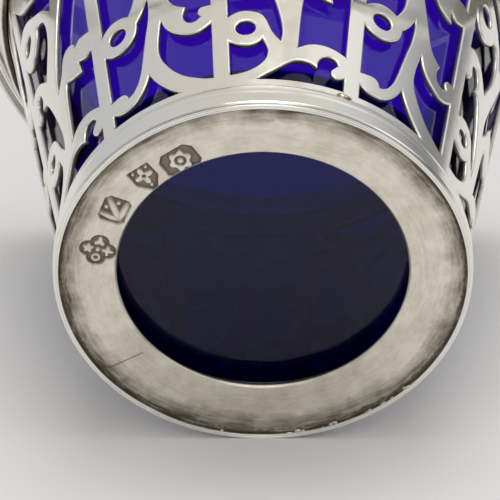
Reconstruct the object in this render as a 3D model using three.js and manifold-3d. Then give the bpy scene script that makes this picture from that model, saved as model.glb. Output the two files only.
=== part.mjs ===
// Cream pail standing on its foot: millimetres, +Z up, foot at z = 0, handle pivots in line with X.
import * as THREE from "three";
import { mergeVertices } from "three/addons/utils/BufferGeometryUtils.js";
import Module from "manifold-3d";

const wasm = await Module();
wasm.setup();

// Clearances and fineness
const TURN_SEGMENTS = 48;
const OUTLINE_STEP = 1.7; // between points on the curved edges of the sawn openings
const PANEL_STEP = 6; // degrees between points along the wall's top and bottom edges
const FIT = 0.15; // radial clearance between soldered rings
const SEAT = 0.08; // clearance between faces that rest on each other

// Base plate and foot
const PLATE_UNDERSIDE = 0.9; // how far the plate is let into the foot
const PLATE_THICKNESS = 1.0;
const PLATE_RADIUS = 23.0;
const PLATE_BORDER = 6.25; // width of the plate round the hole
const FOOT_WIRE_WIDTH = 0.85;
const FOOT_WIRE_HEIGHT = 0.42;
const FOOT_BAND_HEIGHT = 4.1;
const FOOT_BAND_PROUD = 0.16; // broad lower part of the band beyond the wire
const FOOT_BAND_COLLAR = 0.42; // narrow upper part of the band over the wall

// Wall
const WALL_INSET = 0.14; // wall's outer face inside the plate's edge, drawn down to the plate's underside
const WALL_RISE = 54.7; // plate's underside to the top of the wall
const WALL_SPREAD = 9.57; // radius gained over that rise
const WALL_THICKNESS = 0.65;
const DRAWING_ROWS = 54.7; // the wall's rise in the units of the opening heights below
const REPEATS = 5;
const UNIT = 360 / REPEATS;
const FIRST_POST = -47.2; // degrees round from the -Y side, towards +X

// Rim
const RIM_RISE = 3.9; // above the top of the wall
const RIM_FLARE = 2.82; // beyond the top of the wall
const RIM_DEPTH = 3.9; // how far the border reaches down the outside of the wall
const RIM_PROUD = 1.1; // border's lower reed over the wall
const RIM_LIP = 1.9; // width of the rolled lip
const RIM_WIRE_RADIUS = 0.55;
const RIM_WIRE_DROP = 0.45; // wire centre below the top of the rim

// Glass liner
const GLASS_GAP = 0.55;
const GLASS_WALL = 1.4;
const GLASS_BASE = 6.1;
const GLASS_BOWL = 2.5; // rounding of the inside round its floor
const GLASS_PROUD = 0.9; // mouth of the liner above the rim
const GLASS_ROUNDING = 0.55; // of the mouth's edges
const GLASS_HEEL = 1.4; // rounding of the outside round the base
const PUNT_RADIUS = 18.2; // flat recess under the base
const PUNT_RISE = 1.6;
const PUNT_SLOPE = 0.8; // width of the recess's sloping side

// Handle and its pivots
const EAR_THICKNESS = 1.4;
const EAR_WIDTH = 8.4;
const EAR_HEAD_RADIUS = 3.1;
const EAR_CORNER_DROP = 1.8; // ear's lower corners below the top of the rim
const EAR_POINT_DROP = 1.5; // ear's pointed foot below its corners
const PIVOT_RISE = 3.1; // pivot line above the rim
const PIVOT_GAP = 0.12;
const PIN_RADIUS = 1.0;
const PIN_CLEARANCE = 0.09;
const PIN_TAIL_RADIUS = 1.7;
const PIN_HEAD_RADIUS = 2.0;
const EYE_RADIUS = 3.3;
const STRAP_THICKNESS = 1.5;
const STRAP_WIDTH_ENDS = 4.4;
const STRAP_WIDTH_CROWN = 6.0;
const STRAP_REED = 0.8; // width of the reed along each edge
const SHANK_LENGTH = 12; // straight part above each pivot before the bow turns in
const BAIL_RISE = 50; // pivot line to the middle of the strap at the crown
const BOW_PIECES = 26;
const BAIL_REST_GAP = 0.1; // hanging strap to the wall on the -Y side

// Sizes that follow from these
const HOLE_RADIUS = PLATE_RADIUS - PLATE_BORDER;
const FOOT_WIRE_OUTER = PLATE_RADIUS + FIT + FOOT_WIRE_WIDTH;
const FOOT_BAND_TOP = FOOT_WIRE_HEIGHT + SEAT + FOOT_BAND_HEIGHT;
const WALL_BOTTOM = PLATE_UNDERSIDE + PLATE_THICKNESS + SEAT;
const WALL_TOP = PLATE_UNDERSIDE + WALL_RISE;
const RIM_TOP = WALL_TOP + RIM_RISE;
const GLASS_TOP = RIM_TOP + GLASS_PROUD;
const PIVOT_Z = RIM_TOP + PIVOT_RISE;

const wallRadius = (z) =>
  PLATE_RADIUS - WALL_INSET + (WALL_SPREAD * (z - PLATE_UNDERSIDE)) / WALL_RISE;
const RIM_OUTER = wallRadius(WALL_TOP) + RIM_FLARE;

// Round holes: angle in degrees from the first post of a repeat, height above the plate, radius
const EYES = [
  [7.1, 18.5, 1.2],
  [42.7, 13.0, 1.12],
  [6.6, 43.9, 1.4],
  [42.7, 35.9, 1.35],
];

// Sawn openings of one repeat. Each is a ring of smooth runs that meet in corners; a run lists
// angle, height pairs from its own corner and ends at the first point of the next run.
const OPENINGS = [
  // below the first eye
  [
    [2.3, 8.9],
    [2.25, 16.8, 4, 16.1, 7.1, 15.7, 10.2, 16.1, 12.4, 17.1, 13.2, 18.2],
    [13.3, 18.9, 15.4, 20.3],
    [16.8, 21.9, 17, 20.4, 16.5, 18.2, 15.5, 16.1, 14.6, 14.1, 13.7, 12.1, 12.7, 10.3, 11.4, 9,
      9.9, 8.2],
    [8.4, 7.9, 7.9, 8.5, 7, 8.9, 5.6, 9.05, 4.2, 9],
  ],
  // on the foot band, under the leaf
  [
    [2.4, 4.8],
    [2.35, 6.9, 4.2, 6.35, 6.2, 6.1, 8.2, 6.1, 10.2, 6.45, 11.7, 6.95, 13.2, 7.7, 14.6, 8.7],
    [15.4, 9.6, 16.4, 8.6, 17.9, 7.5, 19.7, 6.5, 21.7, 5.6],
    [24, 4.8],
  ],
  // bowl below the hook
  [
    [33.65, 5.75],
    [33.7, 14.5, 31.6, 13.8, 29.5, 13.5, 27.5, 13.6, 25.5, 13.95, 23.5, 14.55, 21.9, 15.35, 20.9, 16.2],
    [20.2, 17.3, 19.6, 15.7, 19.1, 14.2, 18.9, 12.6, 19.5, 11.2, 21, 9.8, 22.7, 8.65, 24.7, 7.65,
      26.7, 6.95, 30.9, 6],
  ],
  // tall opening round the hanging leaf
  [
    [33.7, 17.5],
    [33.8, 28.6, 31, 28, 29.6, 28.1],
    [28.2, 28.8, 28.3, 27.7],
    [28.9, 26.7, 26.8, 26.9, 24.8, 27.3, 22.9, 28.1, 21.6, 29.3, 21.5, 30.8, 22.5, 32.1, 24.2, 32.7,
      26.2, 32.6],
    [28.3, 31.5, 30.2, 31.9, 32, 31.9],
    [33.85, 31.7],
    [33.9, 49.3, 29.3, 46.2, 24.7, 40.8, 21.1, 35.7, 19.5, 33.2, 18.5, 31, 18.2, 29, 18.6, 27,
      19.6, 25.2, 21.8, 21.6, 23, 20, 24.5, 18.95],
    [27.3, 18.1, 26.6, 17.3, 26.4, 16.6, 26.9, 15.9, 28, 15.45, 29.3, 15.35],
    [31, 15.9, 30.3, 16.4, 30.3, 17, 31, 17.4, 32.3, 17.5],
  ],
  // above the first eye
  [
    [2.25, 20.2],
    [2.1, 31, 3.1, 30.6, 4.3, 30.7, 5, 31.5, 4.8, 32.4],
    [4.6, 33, 5.7, 33.7, 7.1, 33.7, 8.3, 33, 8.8, 31.9, 8.4, 31],
    [7.9, 30.4, 9.2, 30.5, 10.8, 29.8, 12.2, 28.2, 13.1, 26.4, 13.4, 24.7, 13.1, 23.1, 12.3, 21.9],
    [11, 20.75, 8.7, 21.2, 6, 21.25, 3.7, 20.8],
  ],
  // below the third eye
  [
    [13.3, 32.9, 15, 34.8, 16.6, 36.6, 17.6, 38.3, 17.9, 40, 17.4, 41.5, 16.2, 42.6],
    [13.6, 43.3, 12.4, 41.9, 10.8, 40.9, 8.8, 40.1, 6.8, 39.8, 4.8, 40.1, 3.2, 40.9],
    [1.85, 42.3],
    [1.95, 35.4, 3.8, 35.8, 5.6, 35.8, 7.6, 35.4, 9.6, 34.8],
  ],
  // under the border, above the third eye
  [
    [1.75, 50.4],
    [1.8, 47.6, 6.2, 47.9, 10, 47, 13.6, 45.4, 17.6, 43.7],
    [20.4, 41.8, 22.3, 44.3],
    [27.3, 50.4],
  ],
  // below the second eye
  [
    [47.1, 11.2, 48.4, 9.5, 48.3, 8.7, 47.7, 7.9, 46.5, 7.2, 44.9, 6.6, 42.8, 6.1, 40.6, 5.85],
    [38.4, 5.75],
    [38.3, 10.95, 40.5, 10.4, 43.3, 10.2, 45.7, 10.5],
  ],
  // above the second eye
  [
    [38.3, 15.05],
    [38.05, 23, 39.1, 22.6, 40.3, 22.7, 41, 23.5, 40.8, 24.4],
    [40.6, 25, 41.7, 25.7, 43.1, 25.7, 44.3, 25, 44.8, 23.9, 44.4, 23],
    [43.9, 22.4, 45.2, 22.5, 46.8, 21.7, 48.3, 20.1, 49.8, 18, 51, 16, 51.9, 14, 52.2, 12.3],
    [51.8, 11, 49.8, 12.3],
    [48.5, 13.9, 47.2, 15, 44.9, 15.6, 42.1, 15.8, 40, 15.55],
  ],
  // window between the fork and the post
  [
    [56.6, 10.2, 57.1, 15, 57.8, 18.4],
    [58.6, 19.6, 60.6, 19],
    [65.3, 18.3, 65.1, 19.4],
    [64.6, 20.4, 66.2, 20, 67.7, 19.8],
    [69.9, 20.2],
    [69.65, 10.3, 67.7, 10.75, 65.7, 11.05, 63.7, 11.2, 61.2, 11.15, 59, 10.85],
  ],
  // on the foot band, inside the arch
  [
    [45.7, 4.8, 50.2, 6.2, 54.2, 7.6, 56.2, 8, 58.2, 8.1, 60.2, 7.9],
    [62, 7.3, 62.1, 8.2, 62.9, 9, 64.3, 9.5, 65.9, 9.5, 67.2, 9.1],
    [67.6, 8.5, 66, 7.7, 65.7, 7.1, 66.4, 6.6, 67.8, 6.4],
    [69.65, 6.9],
    [69.6, 4.8],
  ],
  // tall triangle beside the post
  [
    [54.3, 19.9, 54, 21.4, 54.4, 23, 55.5, 25.2, 57.1, 27.7, 60.7, 32.8, 65.3, 38.2],
    [70, 41.4],
    [69.95, 23.3, 68.4, 23.5, 66.2, 23.6],
    [64.3, 23.1, 63.9, 23.9, 62.6, 24.3, 60.8, 24.4, 59.2, 24, 57.9, 23, 57, 21.8],
  ],
  // below the fourth eye
  [
    [49.3, 24.9, 51, 26.8, 52.6, 28.6, 53.6, 30.3, 53.9, 32, 53.4, 33.4, 52.2, 34.5],
    [49.6, 35.2, 48.4, 33.9, 46.8, 32.9, 44.8, 32.1, 42.8, 31.8, 40.8, 32.1, 39.2, 32.9],
    [38, 34.3],
    [38.05, 27.4, 39.8, 27.8, 41.6, 27.8, 43.6, 27.4, 45.6, 26.8],
  ],
  // above the fourth eye
  [
    [38.1, 39.6, 42.2, 39.9, 46, 39, 49.6, 37.5, 53.6, 36],
    [56.6, 34, 58.2, 36.4],
    [60.4, 39.5, 57, 39.3, 53, 39.7, 47.2, 41.1, 41.7, 43.1],
    [37.95, 46.4],
  ],
  // half moon under the border
  [
    [42.6, 50.4, 44.6, 47.6, 47.2, 45.4, 50.4, 43.8, 54, 42.9, 57.6, 43, 60.8, 44.3, 63.6, 46.9],
    [66, 50.4],
  ],
  // small triangle beside the post
  [
    [62.6, 42.3, 65, 43, 67.5, 43.3],
    [70.05, 43.2],
    [70.15, 49.9, 68.6, 47.9, 66.6, 45.4, 64.6, 43.6],
  ],
];

// Flat drawing plane for the wall: x along the middle girth in mm, y height above the plate's underside.
const GIRTH_RADIUS = wallRadius(PLATE_UNDERSIDE + WALL_RISE / 2);
const MM_PER_DEGREE = (GIRTH_RADIUS * Math.PI) / 180;
const ROW = WALL_RISE / DRAWING_ROWS;
const toDrawing = (angle, height) => new THREE.Vector2(angle * MM_PER_DEGREE, height * ROW);

function outlineOf(runs) {
  const outline = [];
  runs.forEach((run, index) => {
    const next = runs[(index + 1) % runs.length];
    const points = [];
    for (let i = 0; i < run.length; i += 2) points.push(toDrawing(run[i], run[i + 1]));
    points.push(toDrawing(next[0], next[1]));
    const straightUp = points.length === 2 && Math.abs(points[0].x - points[1].x) < 1;
    const curve = new THREE.SplineCurve(points);
    const pieces = straightUp ? 1 : Math.max(1, Math.round(curve.getLength() / OUTLINE_STEP));
    for (let i = 0; i < pieces; i++) outline.push(curve.getPointAt(i / pieces));
  });
  return outline;
}

function eyeOutline([angle, height, radius]) {
  const centre = toDrawing(angle, height);
  const up = radius * ROW;
  const across = (up * GIRTH_RADIUS) / wallRadius(centre.y + PLATE_UNDERSIDE); // round on the tapered wall
  const sides = 10;
  return Array.from({ length: sides }, (_, i) => {
    const turn = (2 * Math.PI * i) / sides;
    return new THREE.Vector2(centre.x + across * Math.cos(turn), centre.y + up * Math.sin(turn));
  });
}

// Swaps the diagonals of neighbouring triangles until none is worse than its alternative.
function improve(points, faces, fixed) {
  const key = (a, b) => (a < b ? `${a},${b}` : `${b},${a}`);
  const cosine = (p, a, b) => {
    const u = points[a].clone().sub(points[p]);
    const v = points[b].clone().sub(points[p]);
    return u.dot(v) / (u.length() * v.length());
  };
  const area = (a, b, c) =>
    (points[b].x - points[a].x) * (points[c].y - points[a].y) -
    (points[b].y - points[a].y) * (points[c].x - points[a].x);
  for (let swapped = true, pass = 0; swapped && pass < 60; pass++) {
    swapped = false;
    const edges = new Map();
    faces.forEach((face, f) => {
      for (let i = 0; i < 3; i++) {
        const k = key(face[i], face[(i + 1) % 3]);
        edges.set(k, [...(edges.get(k) ?? []), [f, i]]);
      }
    });
    const touched = new Set();
    for (const [k, sides] of edges) {
      if (sides.length !== 2 || fixed.has(k)) continue;
      const [[f, i], [g, j]] = sides;
      if (touched.has(f) || touched.has(g)) continue;
      const [a, b] = [faces[f][i], faces[f][(i + 1) % 3]];
      const [p, q] = [faces[f][(i + 2) % 3], faces[g][(j + 2) % 3]];
      const worse = Math.acos(cosine(p, a, b)) + Math.acos(cosine(q, a, b)) > Math.PI + 1e-6;
      if (!worse || area(p, a, q) <= 1e-9 || area(q, b, p) <= 1e-9) continue;
      faces[f] = [p, a, q];
      faces[g] = [q, b, p];
      touched.add(f).add(g);
      swapped = true;
    }
  }
}

function piercedWall() {
  const low = WALL_BOTTOM - PLATE_UNDERSIDE;
  const high = WALL_RISE;
  const columns = UNIT / PANEL_STEP;
  const seamHeights = [0.12, 0.35, 0.65, 0.92].map((share) => THREE.MathUtils.lerp(low, high, share));
  const at = (angle, height) => new THREE.Vector2(angle * MM_PER_DEGREE, height);
  const frame = [];
  for (let i = 0; i <= columns; i++) frame.push(at(i * PANEL_STEP, low));
  for (const height of seamHeights) frame.push(at(UNIT, height));
  for (let i = columns; i >= 0; i--) frame.push(at(i * PANEL_STEP, high));
  for (const height of seamHeights.toReversed()) frame.push(at(0, height));
  const holes = [...OPENINGS.map(outlineOf), ...EYES.map(eyeOutline)];
  for (const hole of holes) if (!THREE.ShapeUtils.isClockWise(hole)) hole.reverse();
  // Triangulated on a very slightly bowed copy, so that no point on a straight edge is passed over.
  const slight = 1e-5;
  const bow = ({ x, y }) => new THREE.Vector2(x + slight * y * y, y + slight * x * x);
  const faces = THREE.ShapeUtils.triangulateShape(frame.map(bow), holes.map((hole) => hole.map(bow)));
  const rings = [frame, ...holes];
  const points = rings.flat();
  const bowed = points.map(bow);
  const ordered = faces.map(([a, b, c]) => {
    const turn = bowed[b].clone().sub(bowed[a]).cross(bowed[c].clone().sub(bowed[a]));
    return turn > 0 ? [a, b, c] : [a, c, b];
  });
  const fixed = new Set();
  const borders = [];
  let start = 0;
  for (const ring of rings) {
    ring.forEach((_, i) => {
      const a = start + i;
      const b = start + ((i + 1) % ring.length);
      fixed.add(a < b ? `${a},${b}` : `${b},${a}`);
      borders.push([a, b]);
    });
    start += ring.length;
  }
  improve(points, ordered, fixed);

  const unitWidth = toDrawing(UNIT, 0).x;
  const onSeam = (p) => Math.abs(p.x) < 1e-6 || Math.abs(p.x - unitWidth) < 1e-6;
  const positions = [];
  for (let repeat = 0; repeat < REPEATS; repeat++) {
    const place = (index, inset) => {
      const { x, y } = points[index];
      const turn = THREE.MathUtils.degToRad(FIRST_POST + repeat * UNIT + x / MM_PER_DEGREE);
      const z = y + PLATE_UNDERSIDE;
      const radius = wallRadius(z) - inset;
      return [radius * Math.sin(turn), -radius * Math.cos(turn), z];
    };
    const outer = (index) => place(index, 0);
    const inner = (index) => place(index, WALL_THICKNESS);
    for (const [a, b, c] of ordered) {
      positions.push(...outer(a), ...outer(b), ...outer(c));
      positions.push(...inner(a), ...inner(c), ...inner(b));
    }
    for (const [a, b] of borders) {
      if (onSeam(points[a]) && onSeam(points[b])) continue;
      positions.push(...outer(a), ...inner(a), ...outer(b));
      positions.push(...outer(b), ...inner(a), ...inner(b));
    }
  }
  const geometry = new THREE.BufferGeometry();
  geometry.setAttribute("position", new THREE.Float32BufferAttribute(positions, 3));
  return mergeVertices(geometry, 1e-3);
}

// Turned pieces: profiles run up the outside and down the inside, as radius, height pairs.
function turned(profile, segments = TURN_SEGMENTS) {
  const points = profile.map(([radius, z]) => new THREE.Vector2(radius, z));
  const closes = points[0].x === 0 && points.at(-1).x === 0;
  if (!closes) points.push(points[0].clone());
  const geometry = new THREE.LatheGeometry(points, segments);
  geometry.deleteAttribute("uv");
  geometry.deleteAttribute("normal");
  geometry.rotateX(Math.PI / 2);
  return mergeVertices(geometry, 1e-4);
}

const ring = (radius, z, wire, sides) =>
  Array.from({ length: sides }, (_, i) => {
    const turn = (2 * Math.PI * (i + 0.5)) / sides;
    return [radius + wire * Math.cos(turn), z + wire * Math.sin(turn)];
  });

const basePlate = () =>
  turned([
    [HOLE_RADIUS, PLATE_UNDERSIDE],
    [PLATE_RADIUS, PLATE_UNDERSIDE],
    [PLATE_RADIUS, PLATE_UNDERSIDE + PLATE_THICKNESS],
    [HOLE_RADIUS, PLATE_UNDERSIDE + PLATE_THICKNESS],
  ]);

const footWire = () => {
  const inner = PLATE_RADIUS + FIT;
  const chamfer = 0.3 * FOOT_WIRE_HEIGHT;
  return turned([
    [inner + chamfer, 0],
    [FOOT_WIRE_OUTER - chamfer, 0],
    [FOOT_WIRE_OUTER, chamfer],
    [FOOT_WIRE_OUTER, FOOT_WIRE_HEIGHT - chamfer],
    [FOOT_WIRE_OUTER - chamfer, FOOT_WIRE_HEIGHT],
    [inner, FOOT_WIRE_HEIGHT],
    [inner, chamfer],
  ]);
};

const footBand = () => {
  const low = FOOT_WIRE_HEIGHT + SEAT;
  const full = FOOT_WIRE_OUTER + FOOT_BAND_PROUD;
  const up = (share) => low + share * FOOT_BAND_HEIGHT;
  const collar = (share) => wallRadius(up(share)) + FOOT_BAND_COLLAR;
  const ledge = wallRadius(WALL_BOTTOM) + FIT;
  return turned([
    [ledge, low],
    [full - 0.25, low],
    [full - 0.1, up(0.04)],
    [full, up(0.32)],
    [full - 0.03, up(0.52)],
    [collar(0.6), up(0.6)],
    [collar(0.95), up(0.95)],
    [wallRadius(FOOT_BAND_TOP) + 1.5 * FIT, FOOT_BAND_TOP],
    [wallRadius(FOOT_BAND_TOP) + FIT, FOOT_BAND_TOP],
    [ledge, WALL_BOTTOM],
  ]);
};

const rimBorder = () => {
  const low = WALL_TOP - RIM_DEPTH;
  const seat = WALL_TOP + SEAT;
  const inside = wallRadius(seat) - WALL_THICKNESS + FIT;
  const hem = wallRadius(low);
  const reeds = (share) => low + share * RIM_DEPTH;
  const flare = (share) => WALL_TOP + share * RIM_RISE;
  return turned([
    [hem + FIT, low],
    [hem + 0.7 * RIM_PROUD, reeds(0.03)],
    [hem + RIM_PROUD, reeds(0.18)],
    [hem + 0.73 * RIM_PROUD, reeds(0.35)],
    [hem + 1.23 * RIM_PROUD, reeds(0.51)],
    [hem + RIM_PROUD, reeds(0.69)],
    [hem + 1.32 * RIM_PROUD, reeds(0.97)],
    [THREE.MathUtils.lerp(hem + 1.32 * RIM_PROUD, RIM_OUTER - 0.9, 0.6), flare(0.33)],
    [RIM_OUTER - 0.9, flare(0.7)],
    [RIM_OUTER - 0.15, flare(0.81)],
    [RIM_OUTER, RIM_TOP - 0.1],
    [RIM_OUTER - 0.5 * RIM_LIP, RIM_TOP],
    [RIM_OUTER - RIM_LIP, flare(0.79)],
    [inside + 1.0, flare(0.33)],
    [inside, seat + 0.3],
    [inside, seat],
    [wallRadius(seat) + FIT, seat],
  ]);
};

const rimWire = () =>
  turned(ring(RIM_OUTER + FIT + RIM_WIRE_RADIUS, RIM_TOP - RIM_WIRE_DROP, RIM_WIRE_RADIUS, 8));

const glassLiner = () => {
  const low = WALL_BOTTOM;
  const outer = (z) => wallRadius(z) - WALL_THICKNESS - GLASS_GAP;
  const inner = (z) => outer(z) - GLASS_WALL;
  const floor = low + GLASS_BASE;
  const bowlTop = floor + GLASS_BOWL;
  const bowl = [0, 18, 36, 54, 72, 90].map((degrees) => {
    const turn = THREE.MathUtils.degToRad(degrees);
    return [inner(bowlTop) - GLASS_BOWL * (1 - Math.cos(turn)), bowlTop - GLASS_BOWL * Math.sin(turn)];
  });
  return turned([
    [0, low + PUNT_RISE],
    [PUNT_RADIUS, low + PUNT_RISE],
    [PUNT_RADIUS + PUNT_SLOPE, low],
    [outer(low) - GLASS_HEEL, low],
    [outer(low) - 0.25 * GLASS_HEEL, low + 0.3 * GLASS_HEEL],
    [outer(low + GLASS_HEEL), low + GLASS_HEEL],
    [outer(GLASS_TOP - GLASS_ROUNDING), GLASS_TOP - GLASS_ROUNDING],
    [outer(GLASS_TOP) - 0.8 * GLASS_ROUNDING, GLASS_TOP],
    [inner(GLASS_TOP) + 0.8 * GLASS_ROUNDING, GLASS_TOP],
    [inner(GLASS_TOP - GLASS_ROUNDING), GLASS_TOP - GLASS_ROUNDING],
    ...bowl,
    [0, floor],
  ]);
};

// Stack along each pivot, from the rim outwards: ear, eye of the handle, pin head.
const EAR_INSIDE = RIM_OUTER + FIT + 2 * RIM_WIRE_RADIUS + SEAT;
const EYE_INSIDE = EAR_INSIDE + EAR_THICKNESS + PIVOT_GAP;
const PIN_HEAD_INSIDE = EYE_INSIDE + STRAP_THICKNESS + PIVOT_GAP;
const BORE_RADIUS = PIN_RADIUS + PIN_CLEARANCE;

// Turns an outline drawn with x along Y and y along Z into a plate that starts at the given x.
function plateAcross(shape, startX, thickness) {
  const settings = { depth: thickness, bevelEnabled: false, curveSegments: 10 };
  const geometry = new THREE.ExtrudeGeometry(shape, settings);
  geometry.rotateX(Math.PI / 2);
  geometry.rotateZ(Math.PI / 2);
  return geometry.translate(startX, 0, 0);
}

function ear() {
  const half = EAR_WIDTH / 2;
  const head = EAR_HEAD_RADIUS;
  const corner = RIM_TOP - EAR_CORNER_DROP;
  const point = corner - EAR_POINT_DROP;
  const shape = new THREE.Shape();
  shape.moveTo(-half, corner);
  shape.quadraticCurveTo(-half * 0.55, corner - 0.6, 0, point);
  shape.quadraticCurveTo(half * 0.55, corner - 0.6, half, corner);
  shape.bezierCurveTo(half, RIM_TOP - 0.2, head + 0.1, RIM_TOP + 0.4, head, PIVOT_Z);
  shape.absarc(0, PIVOT_Z, head, 0, Math.PI, false);
  shape.bezierCurveTo(-head - 0.1, RIM_TOP + 0.4, -half, RIM_TOP - 0.2, -half, corner);
  const bore = new THREE.Path();
  bore.absarc(0, PIVOT_Z, BORE_RADIUS, 0, 2 * Math.PI, true);
  shape.holes.push(bore);
  return plateAcross(shape, EAR_INSIDE, EAR_THICKNESS);
}

function pivotPin() {
  const inside = EAR_INSIDE - PIVOT_GAP;
  const outside = PIN_HEAD_INSIDE;
  const geometry = turned(
    [
      [0, inside - 0.9],
      [PIN_TAIL_RADIUS - 0.7, inside - 0.75],
      [PIN_TAIL_RADIUS, inside - 0.25],
      [PIN_TAIL_RADIUS, inside],
      [PIN_RADIUS, inside],
      [PIN_RADIUS, outside],
      [PIN_HEAD_RADIUS, outside],
      [PIN_HEAD_RADIUS, outside + 0.3],
      [PIN_HEAD_RADIUS - 0.7, outside + 0.9],
      [0, outside + 1.15],
    ],
    20,
  );
  geometry.rotateY(Math.PI / 2);
  return geometry.translate(0, 0, PIVOT_Z);
}

// Strap section: u is outward in the plane of the bow, v across the strap, a fine reed along each edge.
const strapSection = (width) => {
  const half = width / 2;
  const inside = -STRAP_THICKNESS / 2;
  const outside = STRAP_THICKNESS / 2;
  return [
    [inside, -half + 0.2],
    [outside - 0.35, -half],
    [outside, -half + STRAP_REED / 2],
    [outside - 0.4, -half + STRAP_REED],
    [outside - 0.3, 0],
    [outside - 0.4, half - STRAP_REED],
    [outside, half - STRAP_REED / 2],
    [outside - 0.35, half],
    [inside, half - 0.2],
  ];
};

// Sections along the upright bow from the right eye over the crown to the left eye.
function strapRings(halfSpan) {
  const start = EYE_RADIUS - 0.9;
  const bowRise = BAIL_RISE - SHANK_LENGTH;
  const stations = [[halfSpan, start, 0]];
  for (let i = 0; i <= BOW_PIECES; i++) {
    const turn = (Math.PI * i) / BOW_PIECES;
    const along = Math.atan2(bowRise * Math.cos(turn), -halfSpan * Math.sin(turn));
    stations.push([halfSpan * Math.cos(turn), SHANK_LENGTH + bowRise * Math.sin(turn), along - Math.PI / 2]);
  }
  stations.push([-halfSpan, start, Math.PI]);
  return stations.map(([x, z, tilt]) => {
    const width = THREE.MathUtils.lerp(STRAP_WIDTH_ENDS, STRAP_WIDTH_CROWN, (z / BAIL_RISE) ** 2);
    return strapSection(width).map(([u, v]) => [x + u * Math.cos(tilt), v, z + u * Math.sin(tilt)]);
  });
}

function strap(halfSpan) {
  const rings = strapRings(halfSpan);
  const positions = [];
  for (let i = 0; i + 1 < rings.length; i++) {
    for (let j = 0; j < rings[i].length; j++) {
      const k = (j + 1) % rings[i].length;
      const [a, b, c, d] = [rings[i][j], rings[i][k], rings[i + 1][k], rings[i + 1][j]];
      positions.push(...a, ...b, ...c, ...a, ...c, ...d);
    }
  }
  const flat = strapSection(STRAP_WIDTH_ENDS).map(([u, v]) => new THREE.Vector2(u, v));
  for (const [a, b, c] of THREE.ShapeUtils.triangulateShape(flat, [])) {
    positions.push(...rings[0][a], ...rings[0][c], ...rings[0][b]);
    positions.push(...rings.at(-1)[a], ...rings.at(-1)[b], ...rings.at(-1)[c]);
  }
  const geometry = new THREE.BufferGeometry();
  geometry.setAttribute("position", new THREE.Float32BufferAttribute(positions, 3));
  return solid(geometry);
}

// Turn from upright, in radians, at which the crown of the bow comes to rest against the wall.
function hangAngle() {
  const reach = BAIL_RISE - STRAP_THICKNESS / 2;
  const across = -STRAP_WIDTH_CROWN / 2;
  let clear = Math.PI / 2;
  let beyond = Math.PI;
  for (let i = 0; i < 30; i++) {
    const turn = (clear + beyond) / 2;
    const y = across * Math.cos(turn) - reach * Math.sin(turn);
    const z = PIVOT_Z + across * Math.sin(turn) + reach * Math.cos(turn);
    if (-y > wallRadius(z) + BAIL_REST_GAP) clear = turn;
    else beyond = turn;
  }
  return clear;
}

function bail() {
  const halfSpan = EYE_INSIDE + STRAP_THICKNESS / 2;
  const disc = (radius, length, x) =>
    solid(new THREE.CylinderGeometry(radius, radius, length, 24).rotateZ(Math.PI / 2).translate(x, 0, 0));
  let made = strap(halfSpan);
  for (const x of [halfSpan, -halfSpan]) {
    made = made.add(disc(EYE_RADIUS, STRAP_THICKNESS, x));
    made = made.subtract(disc(BORE_RADIUS, 3 * STRAP_THICKNESS, x));
  }
  const geometry = fromSolid(made);
  geometry.rotateX(hangAngle());
  return geometry.translate(0, 0, PIVOT_Z);
}

function solid(geometry) {
  const bare = geometry.clone();
  bare.deleteAttribute("normal");
  bare.deleteAttribute("uv");
  const merged = mergeVertices(bare, 1e-4);
  return new wasm.Manifold(
    new wasm.Mesh({
      numProp: 3,
      vertProperties: merged.attributes.position.array,
      triVerts: new Uint32Array(merged.index.array),
    }),
  );
}

function fromSolid(made) {
  const mesh = made.getMesh();
  const geometry = new THREE.BufferGeometry();
  geometry.setAttribute("position", new THREE.BufferAttribute(new Float32Array(mesh.vertProperties), 3));
  geometry.setIndex(new THREE.BufferAttribute(new Uint32Array(mesh.triVerts), 1));
  return geometry;
}

const pail = new THREE.Group();

function add(name, geometry, color, roughness, metalness) {
  const finished = geometry.index ? geometry.toNonIndexed() : geometry;
  finished.computeVertexNormals();
  const mesh = new THREE.Mesh(finished, new THREE.MeshStandardMaterial({ color, roughness, metalness }));
  mesh.name = name;
  pail.add(mesh);
  return mesh;
}

const SILVER = 0xc9c8c4;
add("glass_liner", glassLiner(), 0x2a1c96, 0.08, 0);
add("pierced_wall", piercedWall(), SILVER, 0.25, 1);
add("base_plate", basePlate(), 0xb5ada0, 0.35, 1);
add("foot_edge_wire", footWire(), SILVER, 0.25, 1);
add("foot_reed_band", footBand(), SILVER, 0.22, 1);
add("rim_border", rimBorder(), SILVER, 0.22, 1);
add("rim_edge_wire", rimWire(), SILVER, 0.22, 1);
add("bail_handle", bail(), SILVER, 0.22, 1);
for (const [side, turn] of [["right", 0], ["left", Math.PI]]) {
  add(`ear_${side}`, ear().rotateZ(turn), SILVER, 0.25, 1);
  add(`pivot_pin_${side}`, pivotPin().rotateZ(turn), SILVER, 0.2, 1);
}

export default pail;
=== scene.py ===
# %% [markdown]
# # A cream pail in pierced silver
# This small table pail is made of sheet silver: a tapering wall sawn into scrolls, a base plate with
# a large round hole, a foot with one broad moulded band, a flared rim and a swing handle. A loose
# liner of cobalt blue glass stands inside it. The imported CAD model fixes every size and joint, and
# this notebook dresses it: finer meshes where a facet would show, then the metals and the glass.

import math
from functools import partial

import bpy
import numpy as np
from mathutils import Matrix, Vector, noise
from mathutils.geometry import delaunay_2d_cdt


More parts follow.
